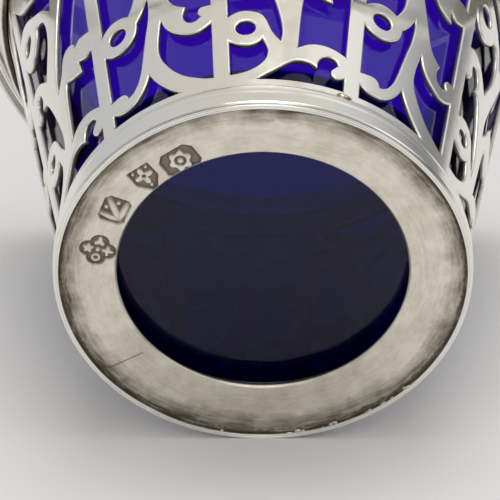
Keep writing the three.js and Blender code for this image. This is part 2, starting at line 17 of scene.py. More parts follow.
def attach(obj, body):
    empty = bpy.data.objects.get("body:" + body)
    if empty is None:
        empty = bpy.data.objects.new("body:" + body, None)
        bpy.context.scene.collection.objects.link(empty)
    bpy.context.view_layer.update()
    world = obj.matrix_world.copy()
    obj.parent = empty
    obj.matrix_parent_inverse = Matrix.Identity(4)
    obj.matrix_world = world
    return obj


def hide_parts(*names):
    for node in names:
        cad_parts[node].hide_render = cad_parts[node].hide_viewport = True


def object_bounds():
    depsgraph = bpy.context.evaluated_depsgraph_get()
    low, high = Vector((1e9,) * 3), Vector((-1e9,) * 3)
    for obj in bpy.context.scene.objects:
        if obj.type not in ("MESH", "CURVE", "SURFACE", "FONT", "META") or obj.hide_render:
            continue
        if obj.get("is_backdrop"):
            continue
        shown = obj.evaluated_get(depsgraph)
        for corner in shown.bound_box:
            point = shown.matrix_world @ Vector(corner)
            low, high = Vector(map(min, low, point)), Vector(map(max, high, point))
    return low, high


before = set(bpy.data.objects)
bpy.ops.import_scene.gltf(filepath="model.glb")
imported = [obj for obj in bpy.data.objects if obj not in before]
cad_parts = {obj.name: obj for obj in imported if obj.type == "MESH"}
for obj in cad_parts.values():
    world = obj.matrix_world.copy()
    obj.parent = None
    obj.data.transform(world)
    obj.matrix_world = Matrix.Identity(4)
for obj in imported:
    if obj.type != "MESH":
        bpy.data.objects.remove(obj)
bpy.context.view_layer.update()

# %% [markdown]
# ## Sizes
# The object is drawn in millimetres, as a silversmith would measure it, and each mesh is scaled to
# metres when it is made. The wall is a plain cone, so one line gives its radius at any height.

# %% Sizes in millimetres
MM = 0.001
MM_IN_METRE = 1000
PLATE_UNDERSIDE = 0.9
PLATE_TOP = 1.9
PLATE_RADIUS = 23.0
HOLE_RADIUS = 16.75
FOOT_WIRE_OUTER = 24.0
FOOT_WIRE_TOP = 0.42
FOOT_BAND_TOP = 4.6
WALL_BOTTOM = 1.98
WALL_TOP = 55.6
WALL_HEIGHT = WALL_TOP - PLATE_UNDERSIDE
WALL_THICKNESS = 0.65
WALL_INSET = 0.14
WALL_TAPER = 9.57 / WALL_HEIGHT
RIM_TOP = 59.5
RIM_OUTER = 35.25
RIM_WIRE_RADIUS = 0.55
PIVOT_Z = 62.6
TINY = 1e-6


def wall_radius(z):
    return PLATE_RADIUS - WALL_INSET + WALL_TAPER * (z - PLATE_UNDERSIDE)


print("mouth", round(2 * wall_radius(WALL_TOP), 1), "mm across, foot", 2 * FOOT_WIRE_OUTER, "mm across")

# %% [markdown]
# ## Colours and nodes
# Blender's shaders work in linear light, but a colour is easier to name as the sRGB hex value that a
# screen shows, so one function converts it. A second one adds a shader node with its settings and
# links, and hands back the output that the next node needs. It takes inputs by name, or in the order
# of the sockets: a map range lists its value, then from min, from max, to min and to max. A colour
# mix keeps its factor in socket 0, its two colours in 6 and 7, and its result in output 2. A maths
# node is named with its operation. A new material comes with this function tied to its own nodes.

# %% Colour and node helpers
def linear(hex_colour):
    values = [int(hex_colour[i : i + 2], 16) / 255 for i in (1, 3, 5)]
    return tuple(v / 12.92 if v <= 0.04045 else ((v + 0.055) / 1.055) ** 2.4 for v in values) + (1.0,)


def add_node(tree, kind, inputs=(), give=0, **settings):
    kind, _, operation = kind.partition(" ")
    made = tree.nodes.new("ShaderNode" + kind)
    if operation:
        made.operation = operation
    for name, value in settings.items():
        setattr(made, name, value)
    for key, value in inputs.items() if isinstance(inputs, dict) else enumerate(inputs):
        if isinstance(value, bpy.types.NodeSocket):
            tree.links.new(value, made.inputs[key])
        else:
            made.inputs[key].default_value = value
    return made.outputs[give] if made.outputs else made


def new_material(name):
    material = bpy.data.materials.new(name)
    material.use_nodes = True
    material.node_tree.nodes.clear()
    return material, partial(add_node, material.node_tree)


print("silver in linear light:", [round(v, 3) for v in linear("#dcd8cf")[:3]])

# %% [markdown]
# ## Camera
# The photograph looks at the base of the pail from below, as it lies tilted on its side, so the
# camera stands 469 mm in front of the plate and 37 degrees off its axis. A long lens and a small
# shift put the base hole where the photograph has it. The frame is 500 by 500 pixels.

# %% Camera
VIEW_DISTANCE = 469.0
VIEW_TILT = math.radians(37.27)
FOCAL_PIXELS = 4097.0
FRAME_PIXELS = 500.0
OFF_CENTRE = (12.94, 22.56)
SENSOR_WIDTH = 36

look = Vector((0, math.sin(VIEW_TILT), math.cos(VIEW_TILT)))
right = Vector((1, 0, 0))
stand = (Vector((0, 0, PLATE_UNDERSIDE)) - look * VIEW_DISTANCE) * MM
camera = bpy.data.objects.new("camera", bpy.data.cameras.new("camera"))
bpy.context.scene.collection.objects.link(camera)
facing = Matrix((right, right.cross(look), -look)).transposed().to_4x4()
camera.matrix_world = Matrix.Translation(stand) @ facing
camera.data.sensor_width = SENSOR_WIDTH
camera.data.lens = SENSOR_WIDTH * FOCAL_PIXELS / FRAME_PIXELS
camera.data.shift_x = -OFF_CENTRE[0] / FRAME_PIXELS
camera.data.shift_y = OFF_CENTRE[1] / FRAME_PIXELS
camera.data.clip_start = 0.01
camera.data.clip_end = 20
bpy.context.scene.camera = camera
print("lens", round(camera.data.lens), "mm, camera at", [round(v, 3) for v in stand])

# %% [markdown]
# ## Silver
# Sterling silver is the whitest of metals. Here it is polished, but old: the polish has fine random
# hairlines, the broad faces have a soft unevenness from the hammer, and warm grey tarnish sits where
# a cloth doesn't reach. Each mesh carries a number from 0 to 1 that says where that is, and in the
# plate's punch marks it also says where shade is painted. Metals keep the default IOR, and the base
# colour does the work of the reflection.

# %% Polished silver
CLOUD_MM = 2.4
HAIRLINE_MM = 0.25  # real polishing lines are a few hundredths of a millimetre, too fine to show
HAIRLINE_DEPTH = 0.004
PATCHINESS = 0.9


def silver(name, clean="#f0eee8", tarnished="#544b41", polish=0.17, hammer_mm=7.0, hammer_depth=0.05):
    material, node = new_material(name)
    place = node("TexCoord", give="Object")
    hammer, cloud, hairline = (
        node("TexNoise", {"Vector": place, "Scale": MM_IN_METRE / size, "Detail": d, "Roughness": r})
        for size, d, r in ((hammer_mm, 1.0, 0.5), (CLOUD_MM, 5.0, 0.65), (HAIRLINE_MM, 2.0, 0.5))
    )
    mesh_marks = node("Attribute", give="Fac", attribute_name="tarnish_and_shade")
    patchy = node("Math MULTIPLY_ADD", (cloud, PATCHINESS, -PATCHINESS / 2))
    reach = node("Math ADD", (mesh_marks, patchy))
    amount = node("MapRange", (reach, 0.2, 0.95))
    colour = node("Mix", {0: amount, 6: linear(clean), 7: linear(tarnished)}, 2, data_type="RGBA")
    rough = node("MapRange", (cloud, 0.3, 0.7, polish - 0.04, polish + 0.07))
    rougher = node("Math MULTIPLY_ADD", (amount, 0.25, rough))
    broad = node("Bump", {"Height": hammer, "Distance": hammer_depth * MM})
    scored = {"Height": hairline, "Strength": 0.35, "Distance": HAIRLINE_DEPTH * MM, "Normal": broad}
    fine = node("Bump", scored)
    surface = {"Base Color": colour, "Metallic": 1.0, "Roughness": rougher, "Normal": fine}
    node("OutputMaterial", {"Surface": node("BsdfPrincipled", surface)})
    return material


polished_silver = silver("polished_silver")
sawn_silver = silver("sawn_and_filed_silver", clean="#f2efe8", polish=0.3, hammer_mm=1.5, hammer_depth=0.02)
print("made", polished_silver.name, "and", sawn_silver.name)

# %% [markdown]
# ## Cobalt glass
# The liner is soda-lime glass coloured with cobalt oxide, blown into a mould and fire polished, so it
# is smooth, a little wavy and very deep in colour. A tint on the surface would look the same at the
# rim and through the thick base. Real glass takes its colour from its depth, so the surface is clear
# and a volume absorbs the light on its way through. The specular tint is a pale blue grey, which
# takes a little off the mirror images in the glass. The Specular IOR Level would be the usual way,
# but it does nothing on a surface that light passes through.

# %% Cobalt glass
GLASS_COLOUR = "#ae3cef"
GLASS_DENSITY = 3785.0
WAVE_MM = 6.0
WAVE_DEPTH = 0.02


def cobalt_glass():
    material, node = new_material("cobalt_glass")
    place = node("TexCoord", give="Object")
    drawn_out = node("VectorMath MULTIPLY", (place, (1.0, 1.0, 0.15)))
    waves = node("TexNoise", {"Vector": drawn_out, "Scale": MM_IN_METRE / WAVE_MM, "Detail": 1.0})
    surface = {
        "Base Color": linear("#ffffff"),
        "Roughness": 0.01,
        "IOR": 1.52,
        "Specular Tint": linear("#cfcfe6"),
        "Transmission Weight": 1.0,
        "Normal": node("Bump", {"Height": waves, "Distance": WAVE_DEPTH * MM}),
    }
    shader = node("BsdfPrincipled", surface)
    depth = node("VolumeAbsorption", {"Color": linear(GLASS_COLOUR), "Density": GLASS_DENSITY})
    node("OutputMaterial", {"Surface": shader, "Volume": depth})
    return material


glass = cobalt_glass()
print("made", glass.name)

# %% [markdown]
# ## Meshes with exact normals
# A mirror-like metal shows every facet and every badly averaged normal. The meshes below therefore
# bring their own normals, worked out from the shape itself. A shape is four lists: points, faces,
# normals and tarnish. One function makes a finished piece of it: it scales to metres, welds doubled
# points, and gives the piece its material slots and the body it moves with.

# %% From a shape to a piece
def unit(vectors):
    return vectors / np.maximum(np.linalg.norm(vectors, axis=1, keepdims=True), 1e-9)


def make_piece(name, shape, replaces=(), materials=(polished_silver,), body="pail", kinds=None):
    points, faces, normals, tarnish_and_shade = shape
    keys = np.round(np.asarray(points, float), 4)
    kept, first, number = np.unique(keys, axis=0, return_index=True, return_inverse=True)
    number = number.reshape(-1)
    summed = np.zeros((len(kept), 3))
    np.add.at(summed, number, np.asarray(normals, float))
    welded, slots = [], []
    for face, kind in zip(faces, kinds or [0] * len(faces)):
        ring = [int(number[i]) for i in face]
        ring = [v for i, v in enumerate(ring) if v != ring[i - 1]]
        if len(set(ring)) >= 3:
            welded.append(ring)
            slots.append(kind)
    mesh = bpy.data.meshes.new(name)
    mesh.from_pydata((kept * MM).tolist(), [], welded)
    mesh.polygons.foreach_set("material_index", slots)
    mesh.shade_smooth()
    mesh.normals_split_custom_set_from_vertices(unit(summed).tolist())
    marks = mesh.attributes.new("tarnish_and_shade", "FLOAT", "POINT")
    marks.data.foreach_set("value", np.asarray(tarnish_and_shade, float)[first])
    for material in materials:
        mesh.materials.append(material)
    piece = bpy.data.objects.new(name, mesh)
    bpy.context.scene.collection.objects.link(piece)
    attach(piece, body)
    if replaces:
        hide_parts(*replaces)
    print(f"{name}: {len(kept)} points, {len(welded)} faces")


# %% [markdown]
# ## Working with shapes
# Most surfaces here are rows of points with four-cornered faces woven between them, as in a net.
# Two more helpers turn and shift a whole shape, and join several into one, so that a thing that
# repeats is made once.

# %% Weaving, moving and joining shapes
def cos_sin(degrees):
    return math.cos(math.radians(degrees)), math.sin(math.radians(degrees))


def ring_pairs(count):
    return [(i, (i + 1) % count) for i in range(count)]


def woven(rows, columns, closed=False):
    """Four-cornered faces between rows of points that each run once round."""
    steps = ring_pairs(rows) if closed else ring_pairs(rows)[:-1]
    corners = [(a * columns, b * columns, j, k) for a, b in steps for j, k in ring_pairs(columns)]
    return [(a + j, a + k, b + k, b + j) for a, b, j, k in corners]


def moved(shape, angle, axis, shift=(0, 0, 0)):
    points, faces, normals, tarnish_and_shade = shape
    turn = np.array(Matrix.Rotation(angle, 3, axis)).T
    return points @ turn + shift, faces, normals @ turn, tarnish_and_shade


def joined(shapes):
    faces, start = [], 0
    for shape in shapes:
        faces += [[v + start for v in face] for face in shape[1]]
        start += len(shape[0])
    points, normals, tarnish_and_shade = (np.concatenate([shape[k] for shape in shapes]) for k in (0, 2, 3))
    return points, faces, normals, tarnish_and_shade


# %% [markdown]
# ## Turned pieces
# The plate, foot, rim, liner and pins are all round. Each starts as a profile, a list that runs up
# the outside and down the inside and gives each corner's radius, height and how far it is rounded.
# Real metal has no knife edges, so every corner is first rounded with a small curve, and then the
# profile is turned about the axis.

# %% Rounding and turning a profile
ROUNDING = 0.1
LONGEST_CUT = 0.45  # share of an edge that the rounding at one end may use
AROUND = 288


def full_circle(count):
    return np.linspace(0, 2 * math.pi, count, endpoint=False)


def softened(profile, closed=True, steps=4):
    corners = [Vector(p[:2]) for p in profile]
    count = len(corners)
    points, normals = [], []
    for i, corner in enumerate(corners):
        before, after = corners[i - 1] - corner, corners[(i + 1) % count] - corner
        size = profile[i][2] if len(profile[i]) > 2 else ROUNDING
        cut = min(size, LONGEST_CUT * before.length, LONGEST_CUT * after.length)
        if not closed and i in (0, count - 1):
            curve = [(corner, after if i == 0 else -before)]
        elif cut < TINY:
            curve = [(corner, after.normalized() - before.normalized())]
        else:
            start, end = corner + before.normalized() * cut, corner + after.normalized() * cut
            curve = []
            for t in (step / steps for step in range(steps + 1)):
                point = start * (1 - t) ** 2 + corner * 2 * t * (1 - t) + end * t * t
                curve.append((point, (corner - start) * (1 - t) + (end - corner) * t))
        points += [point for point, _ in curve]
        normals += [Vector((along.y, -along.x)).normalized() for _, along in curve]
    return points, normals


def turned(profile, closed=True, angles=full_circle(AROUND), steps=4, tarnish_and_shade=None):
    line, line_normals = softened(profile, closed, steps)
    around = np.column_stack([np.sin(angles), -np.cos(angles)])
    points, normals = (
        np.vstack([np.column_stack([around * p.x, np.full(len(angles), p.y)]) for p in row])
        for row in (line, line_normals)
    )
    marks = np.repeat([tarnish_and_shade(p.y) if tarnish_and_shade else 0.0 for p in line], len(angles))
    return points, woven(len(line), len(angles), closed), normals, marks


# %% [markdown]
# ## Foot
# A fine wire forms the edge that the pail stands on. Above it a drawn moulding hides the joint
# between plate and wall: one broad plain band, a small step, and a narrower hollow collar that runs
# out against the wall. Both are turned from profiles. Dirt and tarnish stay in the two grooves, so
# the tarnish number rises there. A fine score runs round the underside of the wire.

# %% Foot wire and moulded band
WIRE_INSIDE = FOOT_WIRE_OUTER - 0.6
GROOVE = FOOT_WIRE_OUTER - 0.34
BAND_STEP = 2.66


def in_grooves(*grooves):
    """Tarnish at a height, from grooves given as height, half width and most tarnish."""
    return lambda z: max(most * max(0.0, 1 - abs(z - height) / width) for height, width, most in grooves)


at_the_wire = (FOOT_WIRE_TOP, 0.2, 1.0)
wire_profile = [
    (WIRE_INSIDE, 0.0, 0.12),
    (WIRE_INSIDE + 0.22, 0.0, 0.03),
    (WIRE_INSIDE + 0.26, 0.05, 0.02),
    (WIRE_INSIDE + 0.3, 0.0, 0.03),
    (FOOT_WIRE_OUTER - 0.02, 0.0, 0.14),
    (FOOT_WIRE_OUTER - 0.02, 0.3, 0.1),
    (FOOT_WIRE_OUTER - 0.16, 0.38, 0.05),
    (GROOVE, FOOT_WIRE_TOP, 0.0),
    (WIRE_INSIDE, FOOT_WIRE_TOP, 0.03),
]
make_piece("foot_wire", turned(wire_profile, tarnish_and_shade=in_grooves(at_the_wire)), ["foot_edge_wire"])

LEDGE = wall_radius(WALL_BOTTOM) + 0.15
band_profile = [
    (LEDGE, FOOT_WIRE_TOP + 0.01, 0.0),
    (GROOVE, FOOT_WIRE_TOP + 0.01, 0.0),
    (FOOT_WIRE_OUTER - 0.14, 0.47, 0.04),
    (FOOT_WIRE_OUTER + 0.08, 0.68, 0.14),
    (FOOT_WIRE_OUTER + 0.13, 2.38, 0.12),
    (FOOT_WIRE_OUTER - 0.08, 2.56, 0.06),
    (wall_radius(2.75) + 0.6, 2.76, 0.06),
    (wall_radius(3.3) + 0.6, 3.3, 0.5),
    (wall_radius(4.05) + 0.42, 4.1, 0.6),
    (wall_radius(4.55) + 0.12, 4.56, 0.2),
    (wall_radius(FOOT_BAND_TOP + 0.06) + 0.03, FOOT_BAND_TOP + 0.06, 0.03),
    (wall_radius(FOOT_BAND_TOP) - 0.1, FOOT_BAND_TOP, 0.02),
    (LEDGE, WALL_BOTTOM, 0.05),
]
band_tarnish = in_grooves((BAND_STEP, 0.2, 0.85), at_the_wire)
make_piece("foot_band", turned(band_profile, tarnish_and_shade=band_tarnish), ["foot_reed_band"])

# %% [markdown]
# ## Rim
# The rim border sits over the wall like a collar: two reeds, a hollow flare and a rolled lip, with a
# round wire soldered along the outside. It is turned too, with more tarnish in its hollows.

# %% Rim border and rim wire
HEM_Z = WALL_TOP - 3.9
HEM = wall_radius(HEM_Z)
WALL_SEAT = WALL_TOP + 0.08
MOUTH = wall_radius(WALL_SEAT) - WALL_THICKNESS + 0.15
RIM_WIRE_CENTRE = RIM_OUTER + 0.15 + RIM_WIRE_RADIUS
RIM_WIRE_Z = RIM_TOP - 0.45
# Steps out and up from the hem, then in and down from the top outer corner, with the rounding.
TWO_REEDS = (
    (0.15, 0, 0.05), (0.7, 0, 0.25), (1.15, 0.7, 0.45), (0.75, 1.35, 0.12),
    (1.4, 2.0, 0.45), (1.05, 2.7, 0.12), (1.5, 3.5, 0.5), (2.35, 5.2, 1.0),
)  # fmt: skip
ROLLED_LIP = ((0.9, 1.15, 0.15), (0, 0.75, 0.3), (0, 0, 0.35), (1.2, 0, 0.5), (1.9, 0.8, 0.4))
rim_profile = [
    *((HEM + r, HEM_Z + z, cut) for r, z, cut in TWO_REEDS),
    *((RIM_OUTER - r, RIM_TOP - z, cut) for r, z, cut in ROLLED_LIP),
    (MOUTH + 1.0, WALL_SEAT + 1.2, 0.6),
    (MOUTH, WALL_SEAT + 0.3, 0.2),
    (MOUTH, WALL_SEAT, 0.05),
    (wall_radius(WALL_SEAT) + 0.15, WALL_SEAT, 0.05),
]
hollows = [(HEM_Z, 0.2, 1.0), *((z, 0.3, 1.0) for z in (HEM_Z + 1.35, HEM_Z + 2.7, RIM_TOP - 1.15))]
make_piece("rim", turned(rim_profile, tarnish_and_shade=in_grooves(*hollows)), ["rim_border"])

wire_profile = [
    (RIM_WIRE_CENTRE + RIM_WIRE_RADIUS * math.cos(a), RIM_WIRE_Z + RIM_WIRE_RADIUS * math.sin(a), 0.3)
    for a in full_circle(12)
]
make_piece("rim_wire", turned(wire_profile, steps=2), ["rim_edge_wire"])

# %% [markdown]
# ## Liner
# The liner is a tumbler of glass with a thin wall, a thick flat base, a flat recess underneath and a
# rounded mouth. Glass needs a closed mesh with no doubled walls, because the volume inside it
# colours the light: the thick base is nearly black and the thin wall is bright blue.

# %% Glass liner
GLASS_TOP = RIM_TOP + 0.9
GLASS_FLOOR = WALL_BOTTOM + 6.1
RECESS_Z = WALL_BOTTOM + 1.6
BOWL_RADIUS = 2.5
GLASS_WALL = 1.4
GLASS_GAP = 0.55


def glass_outside(z):
    return wall_radius(z) - WALL_THICKNESS - GLASS_GAP


def glass_inside(z):
    return glass_outside(z) - GLASS_WALL


bowl_top = GLASS_FLOOR + BOWL_RADIUS
bowl = [
    (glass_inside(bowl_top) - BOWL_RADIUS * (1 - math.cos(t)), bowl_top - BOWL_RADIUS * math.sin(t), 0.0)
    for t in np.radians(np.linspace(0, 90, 19))
]
liner_profile = [
    (0.0, RECESS_Z),
    (18.2, RECESS_Z, 0.3),
    (19.0, WALL_BOTTOM, 0.3),
    (glass_outside(WALL_BOTTOM) - 1.1, WALL_BOTTOM, 0.6),
    (glass_outside(WALL_BOTTOM + 1.4), WALL_BOTTOM + 1.4, 1.2),
    (glass_outside(GLASS_TOP - 0.2) - 0.1, GLASS_TOP - 0.05, 0.6),
    (glass_inside(GLASS_TOP - 0.2) + 0.1, GLASS_TOP - 0.05, 0.6),
    *bowl,
    (0.0, GLASS_FLOOR),
]
liner = turned(liner_profile, closed=False, steps=8)
make_piece("liner", liner, ["glass_liner"], [glass], "liner")

# %% [markdown]
# ## Base plate
# The plate is a flat ring. Beside the hole it was struck with four small punches about three
# millimetres across, which are given plain devices here: small ornaments in a four-lobed frame, a
# sprig, a quatrefoil on a shield and a rosette. They are cut into the mesh, because a punch mark has
# depth: its ground is sunk, its device stands up in it, and the metal it moved forms a slight burr.
# Each device is a function that gives the distance to its outline, in millimetres, and is below
# zero inside. Two such distances are joined by taking the smaller, and cut by taking the larger.

# %% Punch marks
BOTH_WAYS = ((1, 0), (-1, 0), (0, 1), (0, -1))
DIAGONAL = 0.7071


def petals(a, b, size, count, swell):
    return np.hypot(a, b) - size * (1 + swell * np.cos(count * np.arctan2(b, a)))


def pellet(a, b, x, y, size):
    return np.hypot(a - x, b - y) - size


def blade(a, b, tilt, length, width):
    c, s = cos_sin(tilt)
    along, across = a * c + b * s, b * c - a * s
    return (np.hypot((along - length / 2) / length, across / width * 0.5) - 0.5) * width


def lobed_frame(a, b):
    lobes = [pellet(a, b, 0.98 * x, 0.98 * y, 1.0) for x, y in BOTH_WAYS]
    devices = [
        petals(a - 1.05, b, 0.5, 3, 0.35),
        petals(a, b - 1.05, 0.52, 5, 0.25),
        petals(-b - 1.05, a, 0.5, 4, 0.4),
        abs(np.hypot(a + 1.05, b) - 0.38) - 0.16,
        pellet(a, b, 0, 0, 0.28),
    ]
    return np.minimum.reduce(lobes), np.minimum.reduce(devices)


def sprig_in_box(a, b):
    box = np.maximum.reduce([abs(a) - 1.6, abs(b) - 1.45, (abs(a) + abs(b)) * DIAGONAL - 1.85])
    fan = ((41, 3.0), (84, 2.3), (-2, 2.3))
    leaves = [blade(a + 1.15, b + 0.95, tilt, length, 0.34) for tilt, length in fan]
    berries = [pellet(a, b, 0.95, -0.1, 0.24), pellet(a, b, 0.05, 0.95, 0.24)]
    return box, np.minimum.reduce(leaves + berries)


def quatrefoil_on_shield(a, b):
    shield = np.maximum.reduce([abs(a) - 1.35, b - 1.4, abs(a) * 0.78 - b * 0.62 - 1.35])
    device = np.maximum(petals(a, b - 0.15, 0.8, 4, 0.42), 0.2 - np.hypot(a, b - 0.15))
    pellets = [pellet(a, b, 0.85 * x, y, 0.2) for x, y in ((1, 1), (-1, 1), (0, -1.2))]
    return shield, np.minimum.reduce([device, *pellets])


def rosette_in_box(a, b):
    box = np.maximum.reduce([abs(a) - 2.05, abs(b) - 1.6, (abs(a) + abs(b)) * DIAGONAL - 2.1])
    ring = np.maximum(petals(a, b, 1.18, 6, 0.14), 0.62 - np.hypot(a, b))
    return box, np.minimum.reduce([ring, petals(a, b, 0.34, 6, 0.2)])


# %% [markdown]
# ## Striking the marks
# A punch is held upright and hit once, a little crooked each time. The distances above are eased
# into slopes, because struck metal flows and leaves no sharp wall. Its sunk ground is darkened by the
# dirt that gathers there and by painted shade, and most of all in its corners.

# %% Striking the marks
# Each punch: azimuth, radius, lean in degrees and its device.
PUNCHES = [
    (-80.4, 19.1, 4.0, lobed_frame),
    (-62.3, 18.95, -6.0, sprig_in_box),
    (-44.8, 18.85, 8.0, quatrefoil_on_shield),
    (-30.6, 18.2, -4.0, rosette_in_box),
]
PUNCH_DEPTH = 0.27
PUNCH_SCALE = 1.07
PUNCH_EDGE = 0.2
BURR_HEIGHT, BURR_OUT, BURR_WIDTH = 0.018, 0.24, 0.14
DEVICE_HEIGHT = 0.85  # share of the depth
# Dirt and painted shade on the ground and what its corners add of both, then where each corner is darkest and
# how it spreads.
GROUND_DIRT_AND_SHADE, CORNER_DIRT_AND_SHADE = 0.84, 0.16
DEVICE_CORNER, DEVICE_CORNER_SPREAD = 0.06, 0.012
WALL_CORNER, WALL_CORNER_SPREAD = -0.12, 0.016


def eased(distance):
    share = np.clip(0.5 - distance / PUNCH_EDGE, 0, 1)
    return share * share * (3 - 2 * share)


def struck(x, y):
    """Depth of the punch marks in mm at each point, and how much dirt and painted shade lies there."""
    depth, dirt_and_shade = np.zeros_like(x), np.zeros_like(x)
    for azimuth, radius, lean, device in PUNCHES:
        c, s = cos_sin(azimuth)
        a, b = x * c + y * s, x * s - y * c - radius
        c, s = cos_sin(lean)
        ground, relief = device((a * c - b * s) / PUNCH_SCALE, (a * s + b * c) / PUNCH_SCALE)
        sunk, raised = eased(ground), eased(relief)
        burr = BURR_HEIGHT * np.exp(-(((ground - BURR_OUT) / BURR_WIDTH) ** 2))
        depth += PUNCH_DEPTH * sunk * (1 - DEVICE_HEIGHT * raised) - burr
        # The ground is darkened by dirt and by painted shade, with the most painted shade at its corners.
        at_device = np.exp(-((relief - DEVICE_CORNER) ** 2) / DEVICE_CORNER_SPREAD)
        at_wall = np.exp(-((ground - WALL_CORNER) ** 2) / WALL_CORNER_SPREAD)
        dirt_and_shade_here = GROUND_DIRT_AND_SHADE + CORNER_DIRT_AND_SHADE * np.maximum(at_device, at_wall)
        dirt_and_shade = np.maximum(dirt_and_shade, sunk * (1 - raised) * dirt_and_shade_here)
    return depth, dirt_and_shade


print(len(PUNCHES), "punch marks,", PUNCH_DEPTH, "mm deep")

# %% [markdown]
# ## Worn plate silver
# The underside of the plate is never polished like the wall. It is duller and warmer, wiped round
# and round by hand, so its cloudy marks run along the ring. Where it meets the foot wire brown-grey
# sulphide tarnish has built up, with a ragged inner edge and a haze that fades inwards. The streaks
# come from a noise that is read on a much smaller ring, so that it changes quickly with the radius
# and slowly along the ring. One long scratch crosses the plate, and is drawn in the material.

# %% Worn plate silver
SCRATCH_START = (-17.9, 13.96)
SCRATCH_END = (-13.88, 11.67)
SCRATCH_EDGE = (0.03, 0.1)  # a real scratch is hair-fine; drawn about 0.13 mm wide so that it shows
SMALL_RING = 2.6  # radius in mm; the streaks come out about eight times as long as wide
FRINGE, FRINGE_RAGGED_BY = (23.05, 23.6), 0.9
HAZE, HAZE_RAGGED_BY = (22.3, 24.4), 3.0
# Noise patterns, as size in mm, detail and roughness: cloud, grain, hammer and drift, then wiped.
# Real wiping marks are a few hundredths of a millimetre wide, and are drawn coarser so that they show.
PLATE_PATTERNS = ((3.2, 6.0, 0.6), (0.55, 4.0, 0.7), (9.0, 1.0, 0.5), (11.0, 2.0, 0.5))
WIPED_PATTERN = (0.35, 4.0, 0.6)


def plate_silver():
    material, node = new_material("worn_plate_silver")
    place = node("TexCoord", give="Object")
    flat = node("VectorMath MULTIPLY", (place, (1, 1, 0)))
    radius = node("VectorMath LENGTH", (flat,), "Value")
    outward = node("VectorMath NORMALIZE", (flat,))
    own_radius = node("CombineXYZ", {"Z": radius})
    on_the_ring = (outward, [SMALL_RING * MM] * 3, own_radius)
    along_ring = node("VectorMath MULTIPLY_ADD", on_the_ring)
    patterns = [(place, *row) for row in PLATE_PATTERNS] + [(along_ring, *WIPED_PATTERN)]
    cloud, grain, hammer, drift, wiped = (
        node("TexNoise", {"Vector": where, "Scale": MM_IN_METRE / size, "Detail": d, "Roughness": r})
        for where, size, d, r in patterns
    )

    # Tarnish: a ragged fringe at the wire, a patchy haze inside it, and the dirt and painted shade in the
    # marks.
    ragged = node("Math MULTIPLY_ADD", (grain, FRINGE_RAGGED_BY * MM, radius))
    fringe = node("MapRange", (ragged, *(edge * MM for edge in FRINGE)))
    cloudy_radius = node("Math MULTIPLY_ADD", (cloud, HAZE_RAGGED_BY * MM, radius))
    haze = node("MapRange", (cloudy_radius, *(edge * MM for edge in HAZE)))
    sector = node("MapRange", (drift, 0.36, 0.58, 0.7, 1.0))
    speckle = node("MapRange", (wiped, 0.35, 0.65, 0.65, 1.15))
    spread = node("Math MULTIPLY", (haze, sector))
    patch = node("Math MULTIPLY", (spread, speckle))
    edge = node("Math MAXIMUM", (fringe, patch))
    # Read from the mesh: tarnish, and in the punch marks dirt with painted shade.
    mesh_marks = node("Attribute", give="Fac", attribute_name="tarnish_and_shade")
    dark = node("Math MAXIMUM", (edge, mesh_marks))

    # The scratch: a straight line, laid along x and cut off at both ends.
    run = Vector(SCRATCH_END) - Vector(SCRATCH_START)
    half = run.length * MM / 2
    line_place = {
        "Vector": flat,
        "Location": (*(c * MM for c in SCRATCH_START), 0),
        "Rotation": (0, 0, math.atan2(run.y, run.x)),
    }
    lined_up = node("Mapping", line_place, vector_type="TEXTURE")
    along, beside = (node("SeparateXYZ", (lined_up,), axis) for axis in "XY")
    off_line = node("Math ABSOLUTE", (beside,))
    near = node("MapRange", (off_line, *(edge * MM for edge in SCRATCH_EDGE), 1.0, 0.0))
    within = node("Math COMPARE", (along, half, half))
    scratch = node("Math MULTIPLY", (near, within))

    # Colour: handled silver, then the tarnish with the marks' dirt and painted shade, then the scratch.
    cloudy = node("MapRange", (cloud, 0.35, 0.7))
    streaky = node("Math MULTIPLY_ADD", (wiped, 1.6, -0.8))
    mottled = node("Math ADD", (cloudy, streaky), use_clamp=True)
    cut = node("Math MULTIPLY", (scratch, 0.5))
    colour = linear("#ede7da")
    for amount, over in ((mottled, "#d3cbba"), (dark, "#62584b"), (cut, "#6b6358")):
        colour = node("Mix", {0: amount, 6: colour, 7: linear(over)}, 2, data_type="RGBA")

    broad = node("Bump", {"Height": hammer, "Distance": 0.12 * MM})
    worn = node("Bump", {"Height": grain, "Distance": 0.012 * MM, "Normal": broad})
    cut_in = node("Bump", {"Height": scratch, "Distance": 0.04 * MM, "Normal": worn}, invert=True)
    rough = node("MapRange", (grain, 0.3, 0.7, 0.3, 0.42))
    surface = {"Base Color": colour, "Metallic": 1.0, "Roughness": rough, "Normal": cut_in}
    node("OutputMaterial", {"Surface": node("BsdfPrincipled", surface)})
    return material


worn_plate = plate_silver()
print("made", worn_plate.name, "with", len(worn_plate.node_tree.nodes), "nodes")

# %% [markdown]
# ## The plate's mesh
# The plate is turned with much finer steps where the punches struck it, because the marks are cut
# into its points. The edge of the hole is bevelled on both sides, and the lower bevel catches the
# light as a thin line. The normals in a mark come from the slope of the cut.

# %% Base plate
PLATE_SEAT = WIRE_INSIDE + 0.05
SLOPE_STEP = 0.02
FLAT_WITHIN = 0.02
STRUCK_RADII = (HOLE_RADIUS + 0.38, PLATE_RADIUS - 1.4, 0.11)
